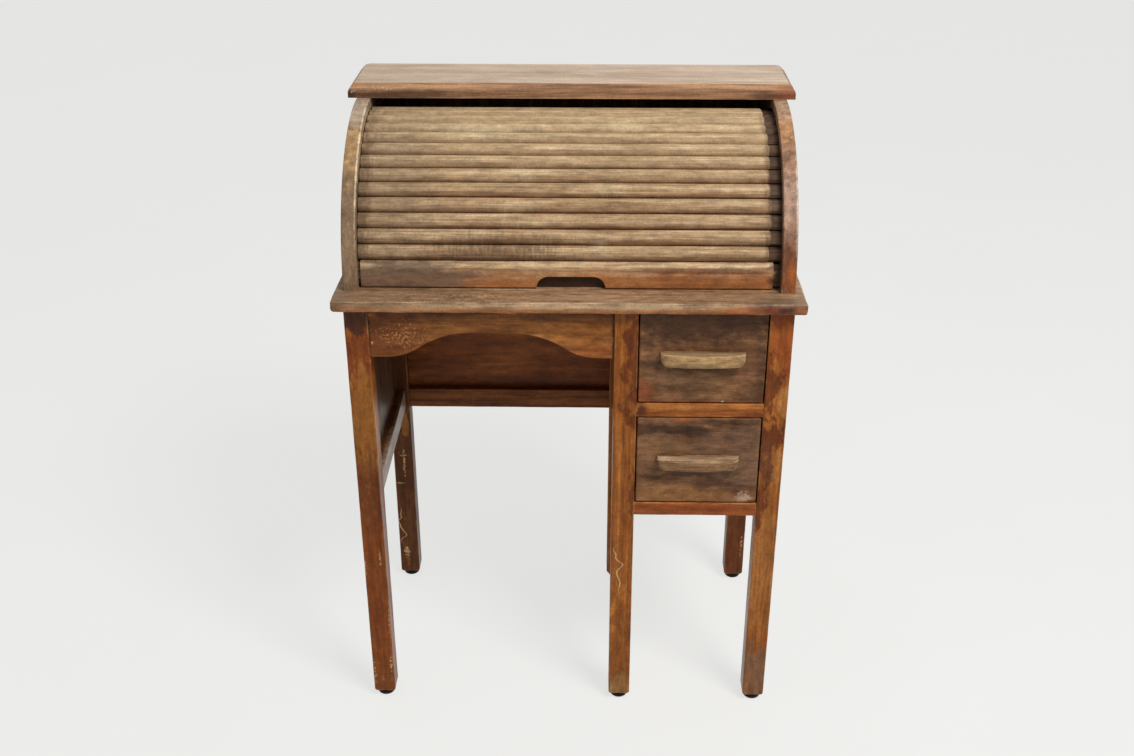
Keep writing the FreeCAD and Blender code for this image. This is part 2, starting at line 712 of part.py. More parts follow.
# Curtain pieces are drawn about the path: +Z along the travel, -Y out of the desk.
# A tongue at each end runs in a groove. The slats have slid to the left, as far as their shoulders
# let them, and the lead rail a little less.
SLAT_LENGTH = f"(2 * {CASE_HALF} - 2 * shoulder_gap - curtain_slack)"
CURTAIN_X = "(-curtain_slack / 2)"
TONGUE_SPAN = f"({SLAT_LENGTH} + 2 * tongue_length)"
SLAT_HALF = "((slat_pitch - slat_gap) / 2)"
SLAT_SIDE = "(slat_thickness - slat_crown)"
SLAT_ROUND = f"(({SLAT_HALF} ^ 2 + slat_crown ^ 2) / (2 * slat_crown))"


def add_tongues(body, name):
    sketch = outline(body, f"{name}_tongue_outline", "YZ_Plane", [
        ("-tongue_lift", "-tongue_width / 2"),
        ("-tongue_lift", "tongue_width / 2"),
        ("-tongue_lift - tongue_thickness", "tongue_width / 2"),
        ("-tongue_lift - tongue_thickness", "-tongue_width / 2"),
    ])
    pad(body, f"{name}_tongues", sketch, TONGUE_SPAN, both_ways=True)


def set_on_path(item, x, distance):
    turn = path_turn(distance)
    y, z = path_place(turn)
    turn_about_x(item, f"-{turn}")
    place(item, x, f"{ARC_Y} + {y}", f"surface_height + {z}")


# Lead rail: a taller board that meets the desk top, rounded off towards the first slat, with a
# blind finger notch under its middle
lead = new_body("tambour_lead_rail")
LEAD_HALF = "(lead_rail_height / 2)"
LEAD_TOP = f"({LEAD_HALF} - slat_gap / 2)"
LEAD_BACK = "(lead_rail_thickness - slat_thickness)"
lead_sketch = outline(lead, "lead_outline", "YZ_Plane", [
    (LEAD_BACK, f"-{LEAD_HALF}"),
    (LEAD_BACK, LEAD_TOP),
    ("-slat_thickness", LEAD_TOP),
    ("-slat_thickness", f"-{LEAD_HALF}"),
])
pad(lead, "lead_pad", lead_sketch, SLAT_LENGTH, both_ways=True)
lead_front = number("-slat_thickness")


def is_lead_front(edge, above):
    in_front = edge.BoundBox.YMax < lead_front + TINY and is_level(edge)
    return in_front and (edge.BoundBox.ZMax > 0) == above


round_edges(lead, "lead_top", "lead_rail_top_radius", lambda edge: is_lead_front(edge, True))
round_edges(lead, "lead_foot", "lead_rail_edge_radius", lambda edge: is_lead_front(edge, False))
add_tongues(lead, "lead")
NOTCH_LEFT = "(notch_offset - notch_width / 2)"
NOTCH_RIGHT = "(notch_offset + notch_width / 2)"
NOTCH_TOP = f"(notch_height - {LEAD_HALF})"
notch_sketch = outline(lead, "notch_outline", "XZ_Plane", [
    (NOTCH_LEFT, f"-{LEAD_HALF} - cut_overrun"),
    (NOTCH_LEFT, f"-{LEAD_HALF}", "notch_height", 1),
    (f"{NOTCH_LEFT} + notch_height", NOTCH_TOP),
    (f"{NOTCH_RIGHT} - notch_height", NOTCH_TOP, "notch_height", 1),
    (NOTCH_RIGHT, f"-{LEAD_HALF}"),
    (NOTCH_RIGHT, f"-{LEAD_HALF} - cut_overrun"),
])
bind(notch_sketch, **{"AttachmentOffset.Base.z": "slat_thickness - notch_depth"})
pocket(lead, "finger_notch", notch_sketch, "notch_depth + cut_overrun", reverse=True)
set_on_path(lead, f"{CURTAIN_X} + lead_rail_shift", f"(seat_clearance + {LEAD_HALF})")
nodes.append(lead)

# Slats: half-round mouldings, each with the strip of canvas that is glued behind it
for index in range(1, SLAT_COUNT + 1):
    name = f"tambour_slat_{index:02d}"
    slat = new_body(f"{name}_wood")
    slat_sketch = outline(slat, f"{name}_outline", "YZ_Plane", [
        ("0", f"-{SLAT_HALF}"),
        ("0", SLAT_HALF),
        (f"-{SLAT_SIDE}", SLAT_HALF, SLAT_ROUND, -1),
        (f"-{SLAT_SIDE}", f"-{SLAT_HALF}"),
    ])
    pad(slat, f"{name}_pad", slat_sketch, SLAT_LENGTH, both_ways=True)
    add_tongues(slat, name)
    canvas = box(
        f"{name}_canvas",
        (f"canvas_margin - {SLAT_LENGTH} / 2", "0", f"-{SLAT_HALF}"),
        (f"{SLAT_LENGTH} - 2 * canvas_margin", "canvas_thickness", f"2 * {SLAT_HALF}"),
    )
    whole = group(name, [slat, canvas])
    set_on_path(whole, CURTAIN_X, slat_distance(index))
    nodes.append(whole)

doc.recompute()

# Nothing is written unless every object and every piece is sound
faults = [item.Name for item in doc.Objects if {"Invalid", "Error"} & set(item.State)]
faults += [node.Label for node in nodes if node.Shape.isNull() or not node.Shape.isValid()]
if faults:
    raise RuntimeError(f"failed: {faults}")

os.makedirs("parts", exist_ok=True)
for node in nodes:
    node.Shape.exportStep(os.path.join("parts", f"{node.Label}.step"))
print(f"{len(nodes)} nodes, {sum(len(node.Shape.Solids) for node in nodes)} solids")
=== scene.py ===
import json
import math

import bpy
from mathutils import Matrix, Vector, noise

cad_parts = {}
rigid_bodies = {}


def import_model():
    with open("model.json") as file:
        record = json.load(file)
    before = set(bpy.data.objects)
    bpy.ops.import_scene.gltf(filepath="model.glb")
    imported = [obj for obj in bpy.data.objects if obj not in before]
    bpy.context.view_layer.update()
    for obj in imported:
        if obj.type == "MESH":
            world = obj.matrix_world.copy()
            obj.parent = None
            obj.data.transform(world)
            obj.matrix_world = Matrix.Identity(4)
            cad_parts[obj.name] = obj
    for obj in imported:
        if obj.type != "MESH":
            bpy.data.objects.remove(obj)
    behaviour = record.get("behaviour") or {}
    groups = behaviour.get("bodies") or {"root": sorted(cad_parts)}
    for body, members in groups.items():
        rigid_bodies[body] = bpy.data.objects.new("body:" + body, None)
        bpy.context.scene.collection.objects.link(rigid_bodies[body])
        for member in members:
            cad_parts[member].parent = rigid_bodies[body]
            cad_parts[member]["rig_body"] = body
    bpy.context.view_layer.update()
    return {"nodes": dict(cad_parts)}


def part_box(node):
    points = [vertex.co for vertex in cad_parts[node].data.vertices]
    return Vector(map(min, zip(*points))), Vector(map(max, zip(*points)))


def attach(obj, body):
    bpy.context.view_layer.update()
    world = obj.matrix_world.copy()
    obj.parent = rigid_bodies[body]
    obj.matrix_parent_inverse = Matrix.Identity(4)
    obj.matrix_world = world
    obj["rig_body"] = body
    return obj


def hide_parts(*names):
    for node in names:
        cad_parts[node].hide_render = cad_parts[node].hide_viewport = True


# A child's roll-top desk in stained hardwood, dark with age and rubbed pale where hands and knees meet it.
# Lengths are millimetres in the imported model's frame until a mesh or a shader takes them in metres.
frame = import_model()


# Legs
# Six square hardwood legs, sawn and planed, their edges eased by hand.
# The rails are tenoned into them, and the desk top is screwed down on their ends.
LEGS = [f"{row}_{column}_leg" for row in ("front", "rear") for column in ("left", "middle", "right")]

# A metre in millimetres
METRE = 1000


def linear(code):
    """An sRGB hex colour as the linear colour that a shader takes, by the curve of the sRGB standard."""
    shares = [int(code[i:i + 2], 16) / 255 for i in (1, 3, 5)]
    return [s / 12.92 if s <= 0.04045 else ((s + 0.055) / 1.055) ** 2.4 for s in shares] + [1.0]


def feed(tree, node, links):
    """Give a node its inputs, each a socket to link or a value to set."""
    for name, value in links.items():
        if isinstance(value, bpy.types.NodeSocket):
            tree.links.new(value, node.inputs[name])
        else:
            node.inputs[name].default_value = value


def add(tree, kind, links, out=0, stops=(), **settings):
    """Add a node with its settings, its inputs as sockets or values, and the stops of its ramp."""
    node = tree.nodes.new(f"ShaderNode{kind}")
    for name, value in settings.items():
        setattr(node, name, value)
    feed(tree, node, links)
    if stops:
        marks = node.color_ramp.elements
        marks[0].position = stops[0][0]
        marks[1].position = stops[-1][0]
        for position, _ in stops[1:-1]:
            marks.new(position)
        for mark, (_, colour) in zip(marks, stops):
            mark.color = linear(colour)
    return node.outputs[out]


def blank_material(name):
    """A new material, its node tree, its shader, and the socket of each point's place on its piece."""
    material = bpy.data.materials.new(name)
    material.use_nodes = True
    tree = material.node_tree
    return material, tree, tree.nodes["Principled BSDF"], add(tree, "TexCoord", {}, out="Object")


def streaks(tree, place, sizes, detail=3.0, bend=0.0):
    """Noise drawn out to a size in millimetres along each axis, as grain, blotches or rub marks."""
    drawn = add(tree, "Mapping", {"Vector": place, "Scale": [METRE / size for size in sizes]})
    return add(tree, "TexNoise", {"Vector": drawn, "Scale": 1.0, "Detail": detail, "Roughness": 0.6,
                                  "Distortion": bend})


def with_grain(along, width, length):
    """Sizes of a streak that runs along one axis."""
    return [length if axis == along else width for axis in "xyz"]


# Most of a noise lies between the low and the high, about the mean
NOISE_LOW, NOISE_MEAN, NOISE_HIGH = 0.3, 0.5, 0.7

# Where the dark, the middle and the pale tone of the grain lie in its noise, and the two of a sloping face
TONE_STOPS, BEVEL_STOPS = (0.36, 0.5, 0.64), (0.4, 0.6)

# A Mix node's sockets for colours have numbers, because they share their names with those for values
UNDER, OVER = 6, 7
COLOUR_MIX = {"out": 2, "data_type": "RGBA"}

# The size of a fleck, how far flecks stray as a share of a chip, and how far a scratch wanders to each side
FLECK, CHIP_STRAY, SCRATCH_SWAY = 3, 4.0, 7


def stained_wood(name, along, tones, stain, bare, stained=0.5, rubbed=0.5, gloss=0.42, bands=(9, 200),
                 clouds=(30, 90), stain_and_shade="#5a3a26", bevels=(), fade=(), ragged=(9, 9, 9), rim=0.65,
                 tear=1.6, mottled=0.3, blots=(), pools=(), chips=(), scratches=()):
    """Stained hardwood under old varnish: grain along the board, blotchy stain, marks, rubbed edges.

    Tones are the grain's dark, middle and pale colours, and the grain runs along an axis. Bands and clouds
    are the width and the length of the growth bands and of the stain's blotches. Stained, rubbed and
    mottled are how strong the blotches, the rubbed edges and the small mottles are. Stain and shade is the
    colour of deeper stain and painted shade where hands and light don't reach. Bevels are the dark and pale
    tones of faces that aren't level. A fade is a tone, its strength, and the heights between which it comes
    in.

    Each mark is a colour, how strong it is, its middle and its reach in millimetres. A blot is a stain:
    ragged is the size of the tears in its rim, tear is how far they stray, and rim is how softly it ends.
    A pool is a spill that dried with a crisp outline. A chip also has a cover, from 0.4, where few flecks
    are off, to 0.7, where all of its middle is bare. A scratch is a thin upright mark that wanders.
    """
    material, tree, shader, place = blank_material(name)

    # Pores of about 0.1 mm are too fine to show, and drawn 1.5 mm wide, among growth bands of real width
    pores = streaks(tree, place, with_grain(along, width=1.5, length=50))
    figure = streaks(tree, place, with_grain(along, *bands), detail=4.0, bend=0.6)
    figure = add(tree, "Mix", {"Factor": 0.3, "A": figure, "B": pores})
    colour = add(tree, "ValToRGB", {"Fac": figure}, stops=list(zip(TONE_STOPS, tones)))

    # Stain that took unevenly, in blotches of a few centimetres drawn out along the grain
    cloud = streaks(tree, place, with_grain(along, *clouds), detail=6.0, bend=0.4)
    patch = add(tree, "MapRange", {"Value": cloud, "From Min": 0.46, "From Max": 0.68, "To Max": stained})
    colour = add(tree, "Mix", {"Factor": patch, UNDER: colour, OVER: linear(stain)}, **COLOUR_MIX)

    # Deeper stain and painted shade where hands and light don't reach, on the lower half of each slat
    stain_and_shade_share = add(tree, "Attribute", {}, out="Fac", attribute_name="stain_and_shade")
    stain_and_shade_share = add(tree, "Math", {0: stain_and_shade_share, 1: cloud}, operation="MULTIPLY")
    stain_and_shade_share = add(tree, "MapRange", {"Value": stain_and_shade_share, "From Max": 0.6, "To Max": 0.85})
    colour = add(tree, "Mix", {"Factor": stain_and_shade_share, UNDER: colour, OVER: linear(stain_and_shade)}, **COLOUR_MIX)

    # Sloping faces, which take tones of their own, darker than those of a level face
    if bevels:
        facing = add(tree, "SeparateXYZ", {"Vector": add(tree, "TexCoord", {}, out="Normal")}, out="Z")
        slope = add(tree, "MapRange", {"Value": facing, "From Min": 0.99, "From Max": 0.9})
        tone = add(tree, "ValToRGB", {"Fac": figure}, stops=list(zip(BEVEL_STOPS, bevels)))
        colour = add(tree, "Mix", {"Factor": slope, UNDER: colour, OVER: tone}, **COLOUR_MIX)

    # A tone that comes in with height, in the outline of the blotches
    if fade:
        tone, strength, start, end = fade
        rise = (end - start) / METRE
        near = (start + end) / 2 / METRE
        height = add(tree, "SeparateXYZ", {"Vector": place}, out="Z")
        height = add(tree, "Math", {0: cloud, 1: rise, 2: height}, operation="MULTIPLY_ADD")
        level = add(tree, "MapRange", {"Value": height, "From Min": near, "From Max": near + rise,
                                       "To Max": strength})
        colour = add(tree, "Mix", {"Factor": level, UNDER: colour, OVER: linear(tone)}, **COLOUR_MIX)

    def marked(under, tone, strength, middle, reach, ends, torn, strays, soft, where=place):
        """The colour with an oval mark on it, which ends at a share of its reach, torn by a noise."""
        shift = [-m / r for m, r in zip(middle, reach)]
        scale = [METRE / r for r in reach]
        local = add(tree, "Mapping", {"Vector": where, "Scale": scale, "Location": shift})
        far = add(tree, "VectorMath", {0: local}, out="Value", operation="LENGTH")
        far = add(tree, "Math", {0: torn, 1: strays, 2: far}, operation="MULTIPLY_ADD")
        limit = ends + NOISE_MEAN * strays
        share = add(tree, "MapRange", {"Value": far, "From Min": limit - soft / 2,
                                       "From Max": limit + soft / 2, "To Min": strength, "To Max": 0.0})
        return add(tree, "Mix", {"Factor": share, UNDER: under, OVER: linear(tone)}, **COLOUR_MIX)

    # Stains with a ragged rim, spills with a crisp one, and flecks where the varnish has chipped
    stray = streaks(tree, place, ragged, detail=5.0)
    fleck = streaks(tree, place, [FLECK] * 3, detail=4.0)
    for blot in blots:
        colour = marked(colour, *blot, ends=0.72, torn=stray, strays=tear, soft=rim)
    for pool in pools:
        colour = marked(colour, *pool, ends=0.97, torn=stray, strays=0.5, soft=0.1)
    for *chip, cover in chips:
        ends = CHIP_STRAY * (cover - NOISE_MEAN)
        colour = marked(colour, *chip, ends=ends, torn=fleck, strays=CHIP_STRAY, soft=0.35)

    # Scratches through the varnish, which turn about every 2 cm of their height
    if scratches:
        sway = streaks(tree, place, with_grain("z", width=400, length=22), detail=1.0)
        sway = add(tree, "MapRange", {"Value": sway, "From Min": NOISE_LOW, "From Max": NOISE_HIGH,
                                      "To Min": -SCRATCH_SWAY / METRE, "To Max": SCRATCH_SWAY / METRE})
        aside = add(tree, "CombineXYZ", {"X": sway})
        crooked = add(tree, "VectorMath", {0: place, 1: aside}, operation="ADD")
        for scratch in scratches:
            colour = marked(colour, *scratch, ends=0.78, torn=fleck, strays=0.6, soft=0.4, where=crooked)

    # Grain, mottles of a centimetre or so and specks of dirt go on under every mark
    mottle = streaks(tree, place, with_grain(along, width=8, length=20), detail=8.0)
    shade = 1.0
    for cause, depth in ((figure, 0.2), (mottle, mottled), (fleck, 0.16)):
        level = add(tree, "MapRange", {"Value": cause, "From Min": NOISE_LOW, "From Max": NOISE_HIGH,
                                       "To Min": 1 - depth, "To Max": 1 + depth})
        shade = add(tree, "Math", {0: shade, 1: level}, operation="MULTIPLY")
    colour = add(tree, "HueSaturation", {"Value": shade, "Color": colour})

    # Edges rubbed through to the bare wood, in stretches, and about 2 mm of every sharp corner
    edge = add(tree, "Attribute", {}, out="Fac", attribute_name="edge")
    eased = add(tree, "Bevel", {"Radius": 2.2 / METRE}, samples=4)
    face = add(tree, "NewGeometry", {}, out="True Normal")
    turn = add(tree, "VectorMath", {0: eased, 1: face}, out="Value", operation="DOT_PRODUCT")
    arris = add(tree, "MapRange", {"Value": turn, "From Min": 0.97, "From Max": 0.8})
    edge = add(tree, "Math", {0: edge, 1: arris}, operation="MAXIMUM")
    chafe = streaks(tree, place, with_grain(along, width=7, length=28), detail=5.0)
    rub = add(tree, "Math", {0: chafe, 1: 1.5, 2: edge}, operation="MULTIPLY_ADD")
    rub = add(tree, "MapRange", {"Value": rub, "From Min": 1.6, "From Max": 1.9, "To Max": rubbed})
    colour = add(tree, "Mix", {"Factor": rub, UNDER: colour, OVER: linear(bare)}, **COLOUR_MIX)

    # Old varnish, scratched so that it mirrors little and dull where it is thin, with pores in relief
    dull = add(tree, "MapRange", {"Value": cloud, "From Min": NOISE_LOW, "From Max": NOISE_HIGH,
                                  "To Min": gloss - 0.1, "To Max": gloss + 0.14})
    dull = add(tree, "Math", {0: rub, 1: 0.2, 2: dull}, operation="MULTIPLY_ADD")
    relief = add(tree, "Bump", {"Height": figure, "Strength": 0.2, "Distance": 0.6 / METRE})
    feed(tree, shader, {"Base Color": colour, "Roughness": dull, "Normal": relief, "IOR": 1.5,
                        "Specular IOR Level": 0.15})
    return material


def make_piece(name, points, faces, body, material, slot):
    """A smooth mesh from points in millimetres, riding on a body."""
    mesh = bpy.data.meshes.new(name)
    mesh.from_pydata([[length / METRE for length in point] for point in points], [], faces)
    mesh.shade_smooth()
    mesh.materials.append(material)
    piece = bpy.data.objects.new(name, mesh)
    bpy.context.collection.objects.link(piece)
    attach(piece, body)
    return piece


def note(piece, name, values):
    """Write a value for each point of a piece, for its material to read."""
    piece.data.attributes.new(name, "FLOAT", "POINT").data.foreach_set("value", values)


# Where a board is cut into strips near its edges and its foot, as shares of their rounding
EDGE_SHARES, FOOT_SHARES = (0, 0.3, 0.65, 1.0, 1.6), (0, 0.06, 0.2, 0.45, 0.75, 1)

# Wear comes in long waves and short dents, and the rounding that it leaves keeps within bounds
WAVE_LENGTH, DENT_LENGTH, DENT_FROM, DENT_GAIN = 23, 6, 0.3, 2.2
LEAST_WEAR, MEAN_WEAR, WEAR_SPREAD, MOST_WEAR = 0.4, 0.9, 0.5, 1.9
RUBBED_WIDTH = 6


def worn_board(node, material, slot, round_to, step, square=None, foot=0.0):
    """A board in a node's box, with points about a step apart and edges rounded unevenly by wear.

    Its ends along the square axis keep their edges. A foot is rounded off below, by its own radius.
    """
    low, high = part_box(node)
    middle = (low + high) * METRE / 2
    half = (high - low) * METRE / 2
    runs = []
    for axis, reach in zip("xyz", half):
        near = [share * round_to for share in EDGE_SHARES]
        lower = [share * foot for share in FOOT_SHARES] if foot and axis == "z" else near
        inner = 2 * reach - lower[-1] - near[-1]
        count = max(2, round(inner / step))
        between = [lower[-1] - reach + inner * i / count for i in range(1, count)]
        runs.append([n - reach for n in lower] + between + [reach - n for n in reversed(near)])
    last = [len(run) - 1 for run in runs]
    numbers = {}
    points = []
    edges = []

    def corner(*index):
        """The number of the point at an index along each axis, made when it is first asked for."""
        if index in numbers:
            return numbers[index]
        flat = Vector([run[i] for run, i in zip(runs, index)])
        wave = noise.noise((middle + flat) / WAVE_LENGTH)
        dent = max(noise.noise((middle + flat) / DENT_LENGTH) - DENT_FROM, 0)
        wear = MEAN_WEAR + WEAR_SPREAD * (wave + DENT_GAIN * dent)
        radius = round_to * min(max(wear, LEAST_WEAR), MOST_WEAR)
        over = Vector([
            0 if axis == square else max(abs(f) - (h - radius), 0)
            for axis, f, h in zip("xyz", flat, half)
        ])
        shell = over.normalized() * radius
        bent = [
            math.copysign(h - radius + s, f) if o else f
            for f, h, o, s in zip(flat, half, over, shell)
        ]
        rise = min(flat.z + half.z, foot)
        inset = foot - math.sqrt(max(foot ** 2 - (foot - rise) ** 2, 0))
        bent[0] *= 1 - inset / half.x
        bent[1] *= 1 - inset / half.y
        near_edge = sorted(h - abs(f) for f, h in zip(flat, half))[1]
        numbers[index] = len(points)
        points.append(middle + Vector(bent))
        edges.append(max(1 - near_edge / RUBBED_WIDTH, 0))
        return numbers[index]

    faces = []
    for axis in range(3):
        first, second = (axis + 1) % 3, (axis + 2) % 3
        for end in (0, last[axis]):
            for i in range(last[first]):
                for j in range(last[second]):
                    ring = []
                    for u, v in ((i, j), (i + 1, j), (i + 1, j + 1), (i, j + 1)):
                        index = [0, 0, 0]
                        index[axis], index[first], index[second] = end, u, v
                        ring.append(corner(*index))
                    faces.append(ring if end else ring[::-1])
    piece = make_piece(f"worn_{node}", points, faces, frame["nodes"][node]["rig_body"], material, slot)
    note(piece, "edge", edges)
    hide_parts(node)


# Warm orange-brown beech with upright grain. Dark drips, pale chips and scratches tell its age.
# The rear legs carry painted shade, and pale gold highlights are painted along the right front leg's outer
# edge
LEG_DARK, LEG_EDGE_HIGHLIGHT, LEG_PALE = "#57220e", "#b87a3e", "#d2ab78"
leg_wood = stained_wood(
    "stained_beech_legs", "z", ("#85491a", "#9b5b23", "#ab6b31"), stain="#733816", bare="#c08f55",
    stained=0.5, clouds=(34, 150), gloss=0.34, ragged=(13, 13, 26), rim=0.3, tear=3.0, blots=(
        ("#6a2d0c", 0.65, (-276, -149, 200), (160, 160, 900)),
        # Painted shade and some dirt: both rear legs are darkened as if in the shadow behind the desk
        ("#442412", 0.8, (-276, 162, 300), (160, 160, 1200)),
        ("#4d2412", 0.75, (276, 162, 200), (160, 160, 1200)),
        ("#6f3a15", 0.5, (77, -164, 40), (60, 60, 160)),
        ("#a8723c", 0.35, (276, -164, 240), (50, 60, 130)),
        ("#77351a", 0.4, (-276, -164, 575), (40, 60, 60)),
        ("#9c672c", 0.6, (-274, -164, 475), (40, 60, 100)),
        ("#a8712f", 0.6, (-271, 146, 300), (9, 20, 24)),
        ("#2f221b", 0.75, (-279, -164, 622), (24, 30, 26)),
        ("#5a3018", 0.5, (-271, -164, 358), (40, 30, 60)),
        (LEG_DARK, 0.75, (87, -164, 570), (20, 30, 120)),
        (LEG_DARK, 0.75, (92, -164, 362), (13, 30, 66)),
        (LEG_DARK, 0.75, (272, -164, 636), (50, 30, 24)),
        ("#94471d", 0.6, (276, -164, 598), (40, 40, 60)),
        (LEG_DARK, 0.7, (264, -164, 536), (24, 30, 42)),
        (LEG_DARK, 0.8, (274, -164, 456), (40, 30, 28)),
        ("#633820", 0.8, (266, -164, 408), (22, 30, 54)),
        # Painted highlights: pale gold stripes along the outer edge of the right front leg
        (LEG_EDGE_HIGHLIGHT, 0.6, (289, -164, 408), (11, 30, 40)),
        (LEG_EDGE_HIGHLIGHT, 0.6, (288, -164, 512), (12, 30, 28)),
        (LEG_DARK, 0.75, (260, -164, 352), (18, 30, 50)),
        ("#94703f", 0.6, (76, -164, 24), (40, 40, 34)),
        ("#775640", 0.8, (280, -164, 52), (40, 40, 80)),
    ), chips=(
        (LEG_PALE, 0.7, (-268, -164, 250), (3, 5, 22), 0.55),
        (LEG_PALE, 0.75, (-290, -164, 236), (2.2, 5, 34), 0.55),
        (LEG_PALE, 0.8, (-262, -164, 150), (2.4, 5, 70), 0.52),
        (LEG_PALE, 0.8, (-289, -164, 44), (3.4, 5, 50), 0.55),
        (LEG_PALE, 0.8, (-264, -164, 62), (3.4, 5, 44), 0.54),
        (LEG_PALE, 0.7, (-278, -164, 30), (8, 5, 22), 0.44),
        (LEG_PALE, 0.7, (80, -164, 150), (12, 5, 40), 0.38),
        (LEG_PALE, 0.75, (65, -164, 26), (4, 5, 24), 0.54),
        (LEG_PALE, 0.6, (289, -164, 204), (2.2, 5, 26), 0.52),
        (LEG_PALE, 0.85, (-275, 146, 227), (2.4, 8, 30), 0.62),
        (LEG_PALE, 0.85, (-275, 146, 240), (9, 8, 3), 0.6),
        (LEG_PALE, 0.75, (-283, 146, 187), (13, 8, 2.6), 0.58),
        (LEG_PALE, 0.85, (-280, 146, 50), (6, 8, 18), 0.6),
        (LEG_PALE, 0.75, (286, 146, 72), (5, 8, 52), 0.5),
    ), scratches=(
        (LEG_PALE, 0.8, (70, -164, 236), (1.4, 6, 48)),
        (LEG_PALE, 0.8, (-286, 146, 104), (1.4, 8, 44)),
    ))
for leg in LEGS:
    worn_board(leg, leg_wood, "frame_wood", round_to=2.0, step=11, square="z", foot=7.0)


# Glides
# A domed steel glide is nailed into the foot of each leg.
# They have gone almost black with dirt and rust.
TARNISH_STOPS = (0.4, 0.62)


def dress(material, *nodes):
    """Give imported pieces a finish."""
    for node in nodes:
        for slot in frame["nodes"][node].material_slots:
            slot.material = material


def plain_metal(name, colours, roughness, grit):
    """Bare metal, cloudy with tarnish, with a grit in millimetres that breaks its shine."""
    material, tree, shader, place = blank_material(name)
    cloud = streaks(tree, place, [grit] * 3, detail=4.0)
    colour = add(tree, "ValToRGB", {"Fac": cloud}, stops=list(zip(TARNISH_STOPS, colours)))
    dull = add(tree, "MapRange", {"Value": cloud, "To Min": roughness - 0.12, "To Max": roughness + 0.12})
    relief = add(tree, "Bump", {"Height": cloud, "Strength": 0.2, "Distance": 0.3 / METRE})
    feed(tree, shader, {"Base Color": colour, "Roughness": dull, "Normal": relief, "Metallic": 1.0})
    return material


# Dark spots under the feet with hardly a glint
glide_steel = plain_metal("tarnished_steel_glides", ("#17120f", "#3a2c23"), roughness=0.55, grit=3)
dress(glide_steel, "leg_glides")


# Rails
# Plain rails low between the legs tie the frame together, and two more frame the drawers.
# They are tenoned into the legs, stained lighter than these, and rubbed orange along the front.
RAIL_ROUND = 1.6

# The brightest wood of the desk, clear orange bands between and below the dark drawers
front_rail_wood = stained_wood(
    "stained_beech_front_rails", "x", ("#84451a", "#a2602a", "#b67339"), stain="#6a3016", bare="#c8935a",
    gloss=0.34, blots=(
        ("#3d1c14", 0.8, (98, -162, 495), (10, 16, 12)),
        ("#6d2f1b", 0.6, (250, -162, 484), (40, 16, 7)),
        ("#85401c", 0.7, (176, -162, 335), (160, 16, 22)),
    ))
for rail in ("pedestal_bottom_rail", "drawer_divider_rail"):
    worn_board(rail, front_rail_wood, "frame_wood", round_to=RAIL_ROUND, step=9, square="x")

# The same wood in the shade of the kneehole, deep brown
cross_rail_wood = stained_wood(
    "stained_beech_back_rails", "x", ("#5e3013", "#7a441b", "#8b5424"), stain="#492511", bare="#a06c38",
    gloss=0.36)
for rail in ("kneehole_back_rail", "pedestal_back_rail"):
    worn_board(rail, cross_rail_wood, "frame_wood", round_to=RAIL_ROUND, step=12, square="x")

# Greyer brown, with a pale grey painted sheen on the inner face of the left rail, as a reflection of the
# bright room
side_rail_wood = stained_wood(
    "stained_beech_side_rails", "y", ("#5d3c25", "#775231", "#8c6540"), stain="#4a2e1c", bare="#a5794c",
    gloss=0.36, blots=(
        # Painted reflection: a pale grey sheen on the inner face of the left rail
        ("#a3907e", 0.85, (-264, 6, 343), (9, 500, 90)),
    ))
for rail in ("left_side_rail", "pedestal_inner_rail", "right_side_rail"):
    worn_board(rail, side_rail_wood, "frame_wood", round_to=RAIL_ROUND, step=12, square="y")


# Panels
# Thin plywood panels stand on the rails and close the sides and the backs under the desk top.
# They were stained with the frame and have darkened out of the light.

# A quiet dark brown with a broad upright figure
panel_wood = stained_wood(
    "stained_plywood_panels", "z", ("#4c3325", "#644732", "#77583f"), stain="#38241a", bare="#8a6846",
    gloss=0.36, bands=(16, 240))

# Redder, with a wide figure from side to side, the warmest tone inside the kneehole
back_panel_wood = stained_wood(
    "stained_plywood_back_panels", "x", ("#6a3614", "#86471a", "#985723"), stain="#562b13", bare="#8a6846",
    gloss=0.32, bands=(24, 260), clouds=(45, 120), blots=(
        # Painted shadow: the top of the kneehole back panel is darkened under the apron
        ("#3f2314", 0.6, (-100, 165, 640), (260, 30, 90)),
    ))
dress(panel_wood, "left_side_panel", "pedestal_inner_panel", "right_side_panel")
dress(back_panel_wood, "kneehole_back_panel", "pedestal_back_panel")


# Apron
# A board across the top of the kneehole, its lower edge sawn to an ogee at both ends.
# Chairs and knees have scuffed its left end.

# Mid brown, dark at both joints, with painted shade along the top under the desk top, and freckled where the
# varnish is off
apron_wood = stained_wood(
    "stained_beech_apron", "x", ("#6b4120", "#865227", "#9a6533"), stain="#572d13", bare="#a87a47",
    stained=0.6, gloss=0.36, bands=(14, 160), ragged=(22, 22, 9), mottled=0.4, blots=(
        ("#5a2a10", 0.7, (-250, -162, 596), (90, 20, 60)),
        ("#8a431c", 0.4, (30, -162, 578), (60, 20, 26)),
        # Painted shade: a dark band along the top, under the overhang of the desk top
        ("#3f2513", 0.7, (-100, -162, 642), (420, 20, 16)),
        ("#a5642a", 0.45, (20, -162, 612), (60, 20, 22)),
        ("#1f1109", 0.95, (-262, -162, 600), (4, 20, 200)),
        ("#1f1109", 0.95, (60, -162, 600), (4, 20, 200)),
    ), chips=(
        ("#b98149", 0.75, (-212, -162, 600), (84, 12, 44), 0.49),
        ("#a97c4c", 0.7, (-170, -162, 622), (90, 12, 24), 0.42),
        ("#b98a52", 0.7, (-70, -162, 632), (120, 12, 9), 0.46),
        ("#e8c58a", 0.8, (-258, -162, 590), (4, 6, 8), 0.5),
        ("#c99a62", 0.6, (32, -162, 574), (40, 12, 10), 0.42),
    ))
dress(apron_wood, "apron")


